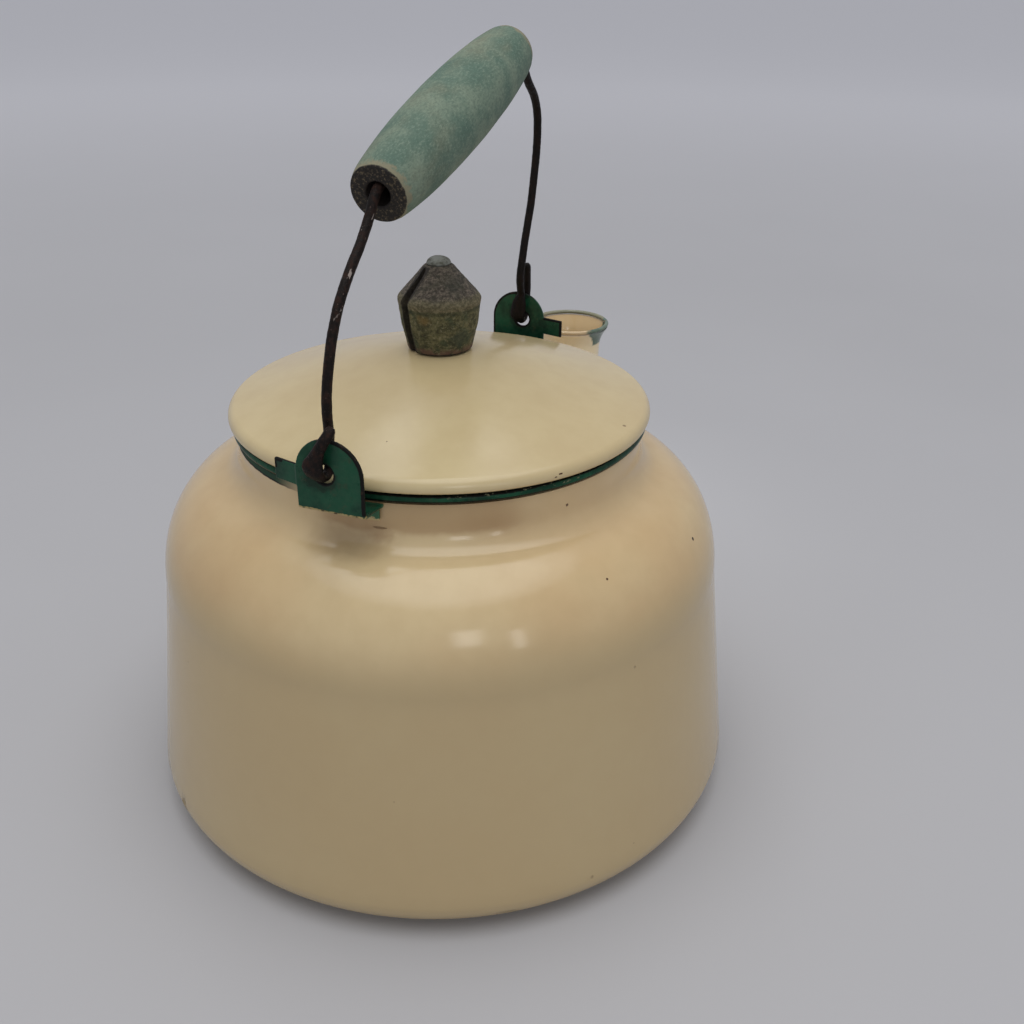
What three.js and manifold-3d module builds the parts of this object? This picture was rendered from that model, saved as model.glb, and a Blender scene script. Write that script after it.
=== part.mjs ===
// Enamelled steel tea kettle with a lift-off lid, a conical spout and a swinging wire bail.
// Millimetres, +Z up. The origin is the centre of the base, +X points to the spout.

import * as THREE from 'three';
import { mergeVertices } from 'three/addons/utils/BufferGeometryUtils.js';
import Module from 'manifold-3d';

const wasm = await Module();
wasm.setup();

// Sheet, gaps and facet counts
const sheet = 1.2;
const seatGap = 0.3;
const overrun = 6;
const mergeTolerance = 0.0001;
const roundSegments = 48;
const boltSegments = 20;

// Body: base, tapered side, rounded shoulder and short neck
const bodyRadius = 114.3;
const baseCornerReach = 16.2;
const baseCornerHeight = 13.7;
const baseCornerSteps = 5;
const shoulderRadiusShare = 0.92038;
const shoulderHeight = 38.9;
const shoulderPower = 2.1;
const shoulderSteps = 8;
const neckRadiusShare = 0.64742;
const neckInset = 2;
const neckFillet = 6;
const neckFilletSteps = 3;
const neckHeight = 15.3;
const neckTop = 143.9;

// Rolled rim bead on the neck
const beadHalfWidth = 2.2;
const beadHalfHeight = 1.85;
const beadSides = 10;

// Lid: dome, skirt, turned-under hem and centring flange
const lidOverhang = 1;
const lidSkirtHeight = 5.2;
const lidCornerRadius = 3.7;
const lidCornerSteps = 3;
const lidHemCorner = 1.5;
const lidHemWidth = 4.8;
const lidDomeRise = 16.9;
const lidDomePower = 1.15;
const lidCrownRadius = 12.5;
const lidDomeSteps = 4;
const flangeClearance = 1;
const flangeDepth = 9;

// Knob, its bolt, washer and nut
const knobHeight = 30;
const knobBaseRadius = 11.9;
const knobWideRadius = 15;
const knobWideHeight = 18.2;
const knobTopRadius = 5.2;
const knobEdge = 0.8;
const knobSideSwell = 0.5;
const splitWidth = 3.4;
const splitRootWidth = 1.5;
const splitFloorRadius = 6.2;
const splitAzimuth = THREE.MathUtils.degToRad(148);
const boltRadius = 2.4;
const boltClearance = 0.4;
const boltHeadRadius = 4.4;
const boltHeadHeight = 2.6;
const boltHeadSteps = 3;
const boltTail = 2;
const washerRadius = 8;
const washerThickness = 1.2;
const nutRadius = 5;
const nutThickness = 3.6;
const nutSides = 6;

// Ears: D plate set off centre from its hole, stop lug, sloping shelf and neck strip
const earLidClearance = 8.1;
const earHoleRise = 13;
const earPlateRadius = 11.5;
const earPlateShift = 1.7;
const earHoleRadius = 3.2;
const earArcSteps = 12;
const lugReach = 10.3;
const lugTop = 1.6;
const lugHeight = 7;
const lugBend = THREE.MathUtils.degToRad(14);
const shelfRise = 1.4;
const stripHeight = 5.9;
const stripHalfWidth = 10.2;
const stripSteps = 6;

// Bail: iron wire with an eye at each ear, hammered flat on one side of the eye
const wireRadius = 1.7;
const flatHalfWidth = 3.3;
const wireSides = 8;
const bailLean = THREE.MathUtils.degToRad(3.5);
const bailHeight = 109.4;
const eyeRadius = 3.1;
const eyeSteps = 8;
const eyeNip = 0.4;
const eyeSkewPower = 8;
const eyeFlatPower = 1.6;
// Each row of a stub or a leg has its height as a share of the ear's plate radius, its place
// aside as a share of the wire's radius, and how flat it is, from 0 for round to 1 for flat.
const rearEye = {
  side: -1,
  stubSkew: -1.06,
  stubFlat: 1,
  legSkew: 0,
  legFlat: 0,
  stub: [[1.41, 1.88, 0.1], [1.087, 1.06, 0.1], [0.774, 0, 0.1], [0.478, -0.65, 0.55]],
  leg: [[1, 0, 0]],
};
const frontEye = {
  side: 1,
  stubSkew: 0,
  stubFlat: 0,
  legSkew: -0.7,
  legFlat: 0.85,
  stub: [[2.07, 0, 0], [1.087, 0, 0]],
  leg: [[0.635, -0.53, 0.7], [1, -0.18, 0.35]],
};
const archSamples = 2;
// Each point is a share of the ear reach from the axis and a share of the bail height
// above the ear holes.
const rearLegShares = [
  [-0.976, 0.165], [-0.979, 0.225], [-0.966, 0.296], [-0.936, 0.382], [-0.887, 0.462],
  [-0.81, 0.536], [-0.74, 0.59], [-0.682, 0.645],
];
const frontLegShares = [
  [0.672, 0.99], [0.76, 0.938], [0.846, 0.88], [0.93, 0.832], [0.983, 0.778], [1.01, 0.71],
  [1.018, 0.63], [1.01, 0.54], [0.993, 0.44], [0.96, 0.346], [0.934, 0.26], [0.92, 0.17],
];
const gripRearShares = [-0.614, 0.704];
const gripFrontShares = [0.574, 1.0];
const wireRiseAtRearFace = 1.4;
const wireRiseAtFrontFace = 0.5;
const wireBendInset = 9;
const wireSeatInset = 24;
const wireBoreClearance = 0.5;

// Grip: turned wood barrel, loose on the wire
const gripEndRadius = 9.6;
const gripMidRadius = 13.1;
const gripBoreRadius = 4;
const gripEdge = 1.2;
const gripSteps = 12;
const gripSegments = 24;
const gripSwellPower = 0.75;

// Spout: oval cone that rises from the side to a level, flared mouth with a rolled lip
const spoutRootInset = 24.3;
const spoutRootHeight = 60;
const spoutRootTilt = THREE.MathUtils.degToRad(20);
const spoutRootPull = 34;
const spoutRootHalfHeight = 29;
const spoutRootHalfWidth = 24;
const mouthOverhang = 39.2;
const mouthDrop = 9.6;
const mouthTilt = THREE.MathUtils.degToRad(90);
const mouthPull = 36;
const mouthHalfLength = 14.7;
const mouthHalfWidth = 14.7;
const mouthFlare = 3.6;
const mouthFlareShare = 0.09;
const spoutTaperPower = 1.7;
const spoutRingPower = 1.6;
const spoutSides = 28;
const spoutSteps = 12;
const lipRadius = 1;
const lipSides = 8;

// Places worked out from the sizes above
const shoulderRadius = bodyRadius * shoulderRadiusShare;
const shoulderTop = neckTop - neckHeight;
const shoulderStart = shoulderTop - shoulderHeight;
const neckRadius = bodyRadius * neckRadiusShare;
const shoulderInnerRadius = neckRadius - neckInset;
const spoutRootReach = bodyRadius - spoutRootInset;
const mouthReach = bodyRadius + mouthOverhang;
const mouthHeight = neckTop - mouthDrop;
const beadCentreRadius = neckRadius - sheet / 2;
const beadCentreHeight = neckTop + seatGap + beadHalfHeight;
const lidRadius = beadCentreRadius + beadHalfWidth + lidOverhang;
const lidSeat = beadCentreHeight + beadHalfHeight + seatGap;
const lidCrownHeight = lidSeat + lidSkirtHeight + lidDomeRise;
const knobSeat = lidCrownHeight + seatGap;
const knobTop = knobSeat + knobHeight;
const washerTop = lidCrownHeight - sheet - seatGap;
const nutTop = washerTop - washerThickness - seatGap;
const boltBoreRadius = boltRadius + boltClearance;
const stripRadius = neckRadius + seatGap;
const earReach = lidRadius + earLidClearance + sheet / 2;
const earHoleHeight = neckTop + earHoleRise;

// Geometry helpers

function closedGeometry(geometry) {
  geometry.deleteAttribute('normal');
  geometry.deleteAttribute('uv');
  const merged = mergeVertices(geometry, mergeTolerance);
  const corners = merged.index.array;
  const kept = [];
  for (let i = 0; i < corners.length; i += 3) {
    const [a, b, c] = [corners[i], corners[i + 1], corners[i + 2]];
    if (a !== b && b !== c && c !== a) kept.push(a, b, c);
  }
  merged.setIndex(kept);
  return merged;
}

// A profile of [radius, height] pairs, counter-clockwise, turned round the Z axis
function turned(profile, segments) {
  const points = profile.map(([radius, height]) => new THREE.Vector2(radius, height));
  const geometry = new THREE.LatheGeometry(points, segments);
  geometry.rotateX(Math.PI / 2);
  return closedGeometry(geometry);
}

function extruded(shape, depth, curveSegments) {
  const settings = { depth, bevelEnabled: false, curveSegments };
  return closedGeometry(new THREE.ExtrudeGeometry(shape, settings));
}

// A skin over rings of points; an open run is closed by a fan at each end
function lofted(rings, isLoop) {
  const sides = rings[0].length;
  const points = rings.flat();
  const index = [];
  const spans = isLoop ? rings.length : rings.length - 1;
  for (let k = 0; k < spans; k++) {
    const low = k * sides;
    const high = ((k + 1) % rings.length) * sides;
    for (let i = 0; i < sides; i++) {
      const next = (i + 1) % sides;
      index.push(low + i, low + next, high + next, low + i, high + next, high + i);
    }
  }
  if (!isLoop) {
    const last = (rings.length - 1) * sides;
    for (let i = 1; i < sides - 1; i++) {
      index.push(0, i + 1, i, last, last + i, last + i + 1);
    }
  }
  const geometry = new THREE.BufferGeometry().setFromPoints(points);
  geometry.setIndex(index);
  return geometry;
}

// An oval ring of points round a centre; across and up span its plane
function ovalRing(centre, across, up, halfAcross, halfUp, sides) {
  const ring = [];
  for (let i = 0; i < sides; i++) {
    const angle = (2 * Math.PI * i) / sides;
    const point = centre.clone();
    point.addScaledVector(across, halfAcross * Math.cos(angle));
    point.addScaledVector(up, halfUp * Math.sin(angle));
    ring.push(point);
  }
  return ring;
}

// A bar along points that lie in or near one plane with the given normal; each point has its
// own half width along that normal
function barAlong(points, halfWidths, planeNormal, radius, sides) {
  const rings = points.map((point, i) => {
    const before = points[Math.max(i - 1, 0)];
    const after = points[Math.min(i + 1, points.length - 1)];
    const along = after.clone().sub(before).normalize();
    const across = planeNormal.clone().cross(along).normalize();
    const aside = along.clone().cross(across);
    return ovalRing(point, across, aside, radius, halfWidths[i], sides);
  });
  return lofted(rings, false);
}

function solidOf(geometry) {
  const closed = closedGeometry(geometry.clone());
  return new wasm.Manifold(new wasm.Mesh({
    numProp: 3,
    vertProperties: new Float32Array(closed.attributes.position.array),
    triVerts: new Uint32Array(closed.index.array),
  }));
}

function geometryOf(solid) {
  const mesh = solid.getMesh();
  const geometry = new THREE.BufferGeometry();
  geometry.setAttribute('position', new THREE.BufferAttribute(mesh.vertProperties, 3));
  geometry.setIndex(new THREE.BufferAttribute(mesh.triVerts, 1));
  return geometry;
}

// Part of an oval from one angle to another, as [radius, height] pairs
function ovalArc(centre, halfWidth, halfHeight, from, to, steps) {
  const points = [];
  for (let i = 0; i <= steps; i++) {
    const angle = from + ((to - from) * i) / steps;
    points.push([
      centre[0] + halfWidth * Math.cos(angle),
      centre[1] + halfHeight * Math.sin(angle),
    ]);
  }
  return points;
}

// Body

function shoulderPoint(angle) {
  const power = 2 / shoulderPower;
  return [
    shoulderInnerRadius + (shoulderRadius - shoulderInnerRadius) * Math.cos(angle) ** power,
    shoulderStart + (shoulderTop - shoulderStart) * Math.sin(angle) ** power,
  ];
}

// The outline from the edge of the flat base to the top of the neck, grown by an offset
function bodyOutline(offset) {
  const outline = ovalArc(
    [bodyRadius - baseCornerReach, baseCornerHeight],
    baseCornerReach + offset, baseCornerHeight + offset, -Math.PI / 2, 0, baseCornerSteps,
  );
  const filletFoot = neckRadius + neckFillet;
  const footShare = (filletFoot - shoulderInnerRadius) / (shoulderRadius - shoulderInnerRadius);
  const footAngle = Math.acos(footShare ** (shoulderPower / 2));
  for (let i = 0; i <= shoulderSteps; i++) {
    const angle = (footAngle * i) / shoulderSteps;
    const [radius, height] = shoulderPoint(angle);
    outline.push([radius + offset * Math.cos(angle), height + offset * Math.sin(angle)]);
  }
  const filletHeight = shoulderPoint(footAngle)[1];
  const fillet = ovalArc(
    [filletFoot, filletHeight + neckFillet],
    neckFillet - offset, neckFillet - offset, -Math.PI / 2, -Math.PI, neckFilletSteps,
  );
  outline.push(...fillet.slice(1), [neckRadius + offset, neckTop]);
  return outline;
}

// The whole outer form as a solid, grown by an offset, to trim what meets it
function bodyForm(offset) {
  const outline = bodyOutline(offset);
  return solidOf(turned([[0, outline[0][1]], ...outline, [0, neckTop]], roundSegments));
}

function makeBody() {
  const outer = bodyOutline(0);
  const inner = bodyOutline(-sheet).reverse();
  const profile = [[0, 0], ...outer, ...inner, [0, sheet]];
  const shell = solidOf(turned(profile, roundSegments));
  return geometryOf(shell.subtract(solidOf(spoutLoft(-sheet, overrun, 0))));
}

function makeBead() {
  const centre = [beadCentreRadius, beadCentreHeight];
  const section = ovalArc(
    centre, beadHalfWidth, beadHalfHeight, -Math.PI / 2, Math.PI * 1.5, beadSides,
  );
  return turned(section, roundSegments);
}

// Spout

const spoutPath = new THREE.CubicBezierCurve3(
  new THREE.Vector3(spoutRootReach, 0, spoutRootHeight),
  new THREE.Vector3(
    spoutRootReach + spoutRootPull * Math.cos(spoutRootTilt), 0,
    spoutRootHeight + spoutRootPull * Math.sin(spoutRootTilt),
  ),
  new THREE.Vector3(
    mouthReach - mouthPull * Math.cos(mouthTilt), 0,
    mouthHeight - mouthPull * Math.sin(mouthTilt),
  ),
  new THREE.Vector3(mouthReach, 0, mouthHeight),
);

function spoutHalfSizes(share) {
  const taper = (1 - share) ** spoutTaperPower;
  const flare = mouthFlare * Math.max(0, 1 - (1 - share) / mouthFlareShare) ** 2;
  return {
    halfLength: mouthHalfLength + (spoutRootHalfHeight - mouthHalfLength) * taper + flare,
    halfWidth: mouthHalfWidth + (spoutRootHalfWidth - mouthHalfWidth) * taper + flare,
  };
}

// The spout's form, grown by an offset and run on past its root and its mouth; its rings
// stand closer together towards the mouth
function spoutLoft(offset, rootOverrun, mouthOverrun) {
  const across = new THREE.Vector3(0, 1, 0);
  const rings = [];
  for (let i = 0; i <= spoutSteps; i++) {
    const share = 1 - (1 - i / spoutSteps) ** spoutRingPower;
    const along = spoutPath.getTangent(share);
    const centre = spoutPath.getPoint(share);
    if (i === 0) centre.addScaledVector(along, -rootOverrun);
    if (i === spoutSteps) centre.addScaledVector(along, mouthOverrun);
    const { halfLength, halfWidth } = spoutHalfSizes(share);
    const up = along.clone().cross(across);
    rings.push(ovalRing(centre, across, up, halfWidth + offset, halfLength + offset, spoutSides));
  }
  return lofted(rings, false);
}

function makeSpout() {
  const tube = solidOf(spoutLoft(0, 0, 0)).subtract(solidOf(spoutLoft(-sheet, overrun, overrun)));
  return geometryOf(tube.subtract(bodyForm(seatGap)));
}

// The lip is a round bead that lies on the flared edge of the mouth
function makeSpoutLip() {
  const along = spoutPath.getTangent(1);
  const across = new THREE.Vector3(0, 1, 0);
  const up = along.clone().cross(across);
  const centre = spoutPath.getPoint(1).addScaledVector(along, seatGap + lipRadius);
  const { halfLength, halfWidth } = spoutHalfSizes(1);
  const rings = [];
  for (let i = 0; i < spoutSides; i++) {
    const angle = (2 * Math.PI * i) / spoutSides;
    const outward = across.clone().multiplyScalar(Math.cos(angle));
    outward.addScaledVector(up, Math.sin(angle));
    const spine = centre.clone();
    spine.addScaledVector(across, (halfWidth - sheet / 2) * Math.cos(angle));
    spine.addScaledVector(up, (halfLength - sheet / 2) * Math.sin(angle));
    rings.push(ovalRing(spine, along, outward, lipRadius, lipRadius, lipSides));
  }
  return lofted(rings, true);
}

// Lid

function lidDomeHeight(radius) {
  const span = lidRadius - lidCornerRadius - lidCrownRadius;
  const share = Math.min(1, Math.max(0, radius - lidCrownRadius) / span);
  return lidCrownHeight - lidDomeRise * share ** lidDomePower;
}

function lidDomeEdgeSlope() {
  return (lidDomePower * lidDomeRise) / (lidRadius - lidCornerRadius - lidCrownRadius);
}

// The lid's outline from the hem corner up the skirt and over the dome to its crown
function lidOutline(offset) {
  const cornerHeight = lidSeat + lidSkirtHeight - lidCornerRadius;
  const cornerStop = Math.PI / 2 - Math.atan(lidDomeEdgeSlope());
  const outline = ovalArc(
    [lidRadius - lidHemCorner, lidSeat + lidHemCorner],
    lidHemCorner + offset, lidHemCorner + offset, -Math.PI / 2, 0, lidCornerSteps,
  );
  outline.push(...ovalArc(
    [lidRadius - lidCornerRadius, cornerHeight],
    lidCornerRadius + offset, lidCornerRadius + offset, 0, cornerStop, lidCornerSteps,
  ));
  const edge = lidRadius - lidCornerRadius;
  for (let i = 1; i <= lidDomeSteps; i++) {
    const radius = edge - ((edge - lidCrownRadius) * i) / lidDomeSteps;
    outline.push([radius, lidDomeHeight(radius) + offset]);
  }
  return outline;
}

function makeLid() {
  const hemInner = lidRadius - lidHemWidth;
  const outer = lidOutline(0);
  const inner = lidOutline(-sheet).reverse();
  const profile = [
    [hemInner, lidSeat], ...outer,
    [boltBoreRadius, lidCrownHeight], [boltBoreRadius, lidCrownHeight - sheet],
    ...inner, [hemInner, lidSeat + sheet], [hemInner, lidSeat],
  ];
  return turned(profile, roundSegments);
}

function makeFlange() {
  const outerRadius = beadCentreRadius - beadHalfWidth - flangeClearance;
  const innerRadius = outerRadius - sheet;
  const top = lidDomeHeight(outerRadius) - sheet - seatGap;
  const bottom = lidSeat - flangeDepth;
  return turned([
    [innerRadius, bottom], [outerRadius, bottom], [outerRadius, top],
    [innerRadius, top], [innerRadius, bottom],
  ], roundSegments);
}

// Knob and its fastening

function makeKnob() {
  const sideMid = (knobBaseRadius + knobWideRadius) / 2 + knobSideSwell;
  const profile = [
    [boltBoreRadius, 0], [knobBaseRadius - knobEdge, 0], [knobBaseRadius, knobEdge],
    [sideMid, knobWideHeight / 2], [knobWideRadius, knobWideHeight - knobEdge],
    [knobWideRadius, knobWideHeight + knobEdge], [knobTopRadius + knobEdge, knobHeight - knobEdge],
    [knobTopRadius, knobHeight], [boltBoreRadius, knobHeight], [boltBoreRadius, 0],
  ];
  const wedge = new THREE.Shape([
    new THREE.Vector2(splitFloorRadius, -splitRootWidth / 2),
    new THREE.Vector2(knobWideRadius + knobEdge, -splitWidth / 2),
    new THREE.Vector2(knobWideRadius + knobEdge, splitWidth / 2),
    new THREE.Vector2(splitFloorRadius, splitRootWidth / 2),
  ]);
  const cut = extruded(wedge, knobHeight + 2 * overrun, 1);
  cut.translate(0, 0, -overrun);
  cut.rotateZ(splitAzimuth);
  const knob = solidOf(turned(profile, gripSegments)).subtract(solidOf(cut));
  return geometryOf(knob).translate(0, 0, knobSeat);
}

function makeBolt() {
  const tail = nutTop - nutThickness - boltTail;
  const headSeat = knobTop + seatGap;
  const dome = ovalArc(
    [0, headSeat], boltHeadRadius, boltHeadHeight, 0, Math.PI / 2, boltHeadSteps,
  ).slice(0, -1);
  return turned([
    [0, tail], [boltRadius, tail], [boltRadius, headSeat], ...dome,
    [0, headSeat + boltHeadHeight],
  ], boltSegments);
}

function makeWasher() {
  const bottom = washerTop - washerThickness;
  return turned([
    [boltBoreRadius, bottom], [washerRadius, bottom], [washerRadius, washerTop],
    [boltBoreRadius, washerTop], [boltBoreRadius, bottom],
  ], boltSegments);
}

function makeNut() {
  const outline = new THREE.Shape();
  for (let i = 0; i < nutSides; i++) {
    const angle = (2 * Math.PI * i) / nutSides;
    const corner = [nutRadius * Math.cos(angle), nutRadius * Math.sin(angle)];
    if (i === 0) outline.moveTo(...corner);
    else outline.lineTo(...corner);
  }
  outline.holes.push(new THREE.Path().absarc(0, 0, boltBoreRadius, 0, 2 * Math.PI, true));
  return extruded(outline, nutThickness, boltSegments / 2).translate(0, 0, nutTop - nutThickness);
}

// Ears

// Sets a flat outline upright: its x runs along +Y, its y along +Z and its depth along +X
function stoodUp(geometry) {
  const basis = new THREE.Matrix4().makeBasis(
    new THREE.Vector3(0, 1, 0), new THREE.Vector3(0, 0, 1), new THREE.Vector3(1, 0, 0),
  );
  return geometry.applyMatrix4(basis);
}

function earPlate() {
  const foot = neckTop + shelfRise - sheet - earHoleHeight;
  const outline = new THREE.Shape();
  outline.moveTo(earPlateShift - earPlateRadius, foot);
  outline.lineTo(earPlateShift + earPlateRadius, foot);
  outline.absarc(earPlateShift, 0, earPlateRadius, 0, Math.PI, false);
  outline.holes.push(new THREE.Path().absarc(0, 0, earHoleRadius, 0, 2 * Math.PI, true));
  const plate = stoodUp(extruded(outline, sheet, earArcSteps));
  return plate.translate(earReach - sheet / 2, 0, earHoleHeight);
}

// The shelf rises from the top of the neck strip to the foot of the plate
function earShelf() {
  const low = earPlateShift - earPlateRadius;
  const high = earPlateShift + earPlateRadius;
  const face = earReach + sheet / 2;
  const outline = new THREE.Shape();
  outline.moveTo(face, low);
  outline.lineTo(face, high);
  outline.absarc(0, 0, stripRadius, Math.asin(high / stripRadius), Math.asin(low / stripRadius), true);
  const shelf = extruded(outline, sheet, stripSteps);
  const slope = shelfRise / (face - stripRadius);
  const slant = new THREE.Matrix4().makeShear(0, slope, 0, 0, 0, 0);
  return shelf.applyMatrix4(slant).translate(0, 0, neckTop - sheet - slope * stripRadius);
}

function earStrip() {
  const from = (earPlateShift - stripHalfWidth) / stripRadius;
  const to = (earPlateShift + stripHalfWidth) / stripRadius;
  const outline = new THREE.Shape();
  outline.absarc(0, 0, stripRadius + sheet, from, to, false);
  outline.absarc(0, 0, stripRadius, to, from, true);
  return extruded(outline, stripHeight, stripSteps).translate(0, 0, neckTop - stripHeight);
}

function earLug() {
  const lug = new THREE.BoxGeometry(sheet, lugReach, lugHeight);
  lug.translate(0, -lugReach / 2, 0);
  lug.rotateZ(-lugBend);
  const root = earPlateShift - earPlateRadius + sheet;
  return lug.translate(earReach, root, earHoleHeight + lugTop - lugHeight / 2);
}

function makeEar() {
  const ear = solidOf(earPlate())
    .add(solidOf(earShelf()))
    .add(solidOf(earStrip()))
    .add(solidOf(earLug()));
  return geometryOf(ear);
}

// Bail

const bailNormal = new THREE.Vector3(0, -Math.cos(bailLean), -Math.sin(bailLean));

// A point from its reach along X, its height above the ear holes in the bail's leaning plane,
// and how far it stands aside from that plane
function bailPoint(reach, height, aside) {
  const point = new THREE.Vector3(
    reach, -height * Math.sin(bailLean), earHoleHeight + height * Math.cos(bailLean),
  );
  return point.addScaledVector(bailNormal, aside);
}

function sharedPoint([reachShare, heightShare]) {
  return bailPoint(reachShare * earReach, heightShare * bailHeight, 0);
}

// The closed eye on one side, from the end of the stub to where the leg clears the ear's top,
// as points with their half widths
function eyeRows({ side, stubSkew, stubFlat, legSkew, legFlat, stub, leg }) {
  const stubReach = earReach + eyeRadius;
  const legReach = earReach - eyeRadius;
  const rows = [];
  const addRow = (reach, height, asideShare, flatness) => rows.push({
    point: bailPoint(side * reach, height, asideShare * wireRadius),
    halfWidth: wireRadius + (flatHalfWidth - wireRadius) * flatness,
  });
  stub.forEach(([heightShare, asideShare, flatness], i) => {
    const reach = i === 0 ? legReach + 2 * wireRadius + eyeNip : stubReach;
    addRow(reach, heightShare * earPlateRadius, asideShare, flatness);
  });
  for (let i = 0; i <= eyeSteps; i++) {
    const angle = (Math.PI * i) / eyeSteps;
    const skew = stubSkew * Math.cos(angle / 2) ** eyeSkewPower
      + legSkew * Math.sin(angle / 2) ** eyeSkewPower;
    const flatness = stubFlat * Math.max(0, Math.cos(angle)) ** eyeFlatPower
      + legFlat * Math.max(0, -Math.cos(angle)) ** eyeFlatPower;
    const rise = eyeRadius - eyeRadius * Math.sin(angle);
    addRow(earReach + eyeRadius * Math.cos(angle), rise, skew, flatness);
  }
  for (const [heightShare, asideShare, flatness] of leg) {
    addRow(legReach, heightShare * earPlateRadius, asideShare, flatness);
  }
  return rows;
}

const gripRear = sharedPoint(gripRearShares);
const gripFront = sharedPoint(gripFrontShares);
const gripAxis = gripFront.clone().sub(gripRear).normalize();
const gripUp = bailNormal.clone().cross(gripAxis);
const wireRiseInBore = gripBoreRadius - wireRadius - wireBoreClearance;

// A point along and above the grip's axis, from one of its end faces; the grip hangs from
// the wire by the top of its bore
function inGrip(face, along, rise) {
  return face.clone().addScaledVector(gripAxis, along).addScaledVector(gripUp, rise);
}

function makeBailWire() {
  const rear = eyeRows(rearEye);
  const front = eyeRows(frontEye).reverse();
  const arch = new THREE.CatmullRomCurve3([
    rear[rear.length - 1].point,
    ...rearLegShares.map(sharedPoint),
    inGrip(gripRear, 0, wireRiseAtRearFace),
    inGrip(gripRear, wireBendInset, (wireRiseAtRearFace + wireRiseInBore) / 2),
    inGrip(gripRear, wireSeatInset, wireRiseInBore),
    inGrip(gripFront, -wireSeatInset, wireRiseInBore),
    inGrip(gripFront, -wireBendInset, (wireRiseAtFrontFace + wireRiseInBore) / 2),
    inGrip(gripFront, 0, wireRiseAtFrontFace),
    ...frontLegShares.map(sharedPoint),
    front[0].point,
  ], false, 'centripetal');
  const archRows = arch.getPoints(archSamples * (arch.points.length - 1)).slice(1, -1)
    .map((point) => ({ point, halfWidth: wireRadius }));
  const rows = [...rear, ...archRows, ...front];
  const points = rows.map((row) => row.point);
  const halfWidths = rows.map((row) => row.halfWidth);
  return barAlong(points, halfWidths, bailNormal, wireRadius, wireSides);
}

function makeGrip() {
  const length = gripRear.distanceTo(gripFront);
  const profile = [[gripBoreRadius, 0], [gripEndRadius - gripEdge, 0]];
  for (let i = 0; i <= gripSteps; i++) {
    const share = i / gripSteps;
    const swell = (1 - (2 * share - 1) ** 2) ** gripSwellPower;
    profile.push([
      gripEndRadius + (gripMidRadius - gripEndRadius) * swell,
      gripEdge + (length - 2 * gripEdge) * share,
    ]);
  }
  profile.push([gripEndRadius - gripEdge, length], [gripBoreRadius, length], [gripBoreRadius, 0]);
  return turned(profile, gripSegments);
}

// Materials and assembly

function paint(color, roughness, metalness) {
  return new THREE.MeshStandardMaterial({ color, roughness, metalness });
}

const kettle = new THREE.Group();

function addPiece(name, geometry, material) {
  const mesh = new THREE.Mesh(geometry, material);
  mesh.name = name;
  kettle.add(mesh);
  return mesh;
}

addPiece('body_shell', makeBody(), paint(0xc4b28a, 0.22, 0));
addPiece('rim_bead', makeBead(), paint(0x2c5c48, 0.3, 0));
addPiece('spout_tube', makeSpout(), paint(0xc9b68f, 0.22, 0));
addPiece('spout_lip', makeSpoutLip(), paint(0x3d7560, 0.3, 0));
addPiece('ear_front', makeEar(), paint(0x235444, 0.3, 0));
addPiece('ear_rear', makeEar(), paint(0x235444, 0.3, 0)).rotation.z = Math.PI;
addPiece('lid_shell', makeLid(), paint(0xcbb98e, 0.2, 0));
addPiece('lid_flange', makeFlange(), paint(0xc4b28a, 0.3, 0));
addPiece('lid_knob', makeKnob(), paint(0x5a5540, 0.85, 0));
addPiece('knob_bolt', makeBolt(), paint(0x8d9089, 0.5, 0.7));
addPiece('knob_washer', makeWasher(), paint(0x6e665c, 0.6, 0.8));
addPiece('knob_nut', makeNut(), paint(0x6e665c, 0.6, 0.8));
addPiece('bail_wire', makeBailWire(), paint(0x2e2422, 0.8, 0.6));

const grip = addPiece('bail_grip', makeGrip(), paint(0x6f8f7c, 0.8, 0));
grip.position.copy(gripRear);
grip.quaternion.setFromUnitVectors(new THREE.Vector3(0, 0, 1), gripAxis);

export default kettle;
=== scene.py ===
import math

import bmesh
import bpy
import numpy as np
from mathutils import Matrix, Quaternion, Vector, noise


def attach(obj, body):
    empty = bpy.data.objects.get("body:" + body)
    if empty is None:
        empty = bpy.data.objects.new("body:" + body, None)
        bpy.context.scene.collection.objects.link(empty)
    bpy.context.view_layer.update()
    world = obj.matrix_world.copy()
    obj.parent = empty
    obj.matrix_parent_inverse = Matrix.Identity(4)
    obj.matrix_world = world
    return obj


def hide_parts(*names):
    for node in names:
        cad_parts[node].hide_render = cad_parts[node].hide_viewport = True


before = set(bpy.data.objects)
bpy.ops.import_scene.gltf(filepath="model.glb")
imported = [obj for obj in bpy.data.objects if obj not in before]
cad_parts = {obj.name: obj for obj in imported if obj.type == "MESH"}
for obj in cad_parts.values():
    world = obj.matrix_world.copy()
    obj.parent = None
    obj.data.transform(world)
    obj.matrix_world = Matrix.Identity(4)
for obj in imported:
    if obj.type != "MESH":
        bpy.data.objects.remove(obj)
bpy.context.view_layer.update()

# Enamelled tea kettle in metres, +Z up, +X from the body's axis towards the spout.
# Sizes below are millimetres, the same as the solids', and make_object scales them.
MM = 0.001
TURN = 2 * math.pi

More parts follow.
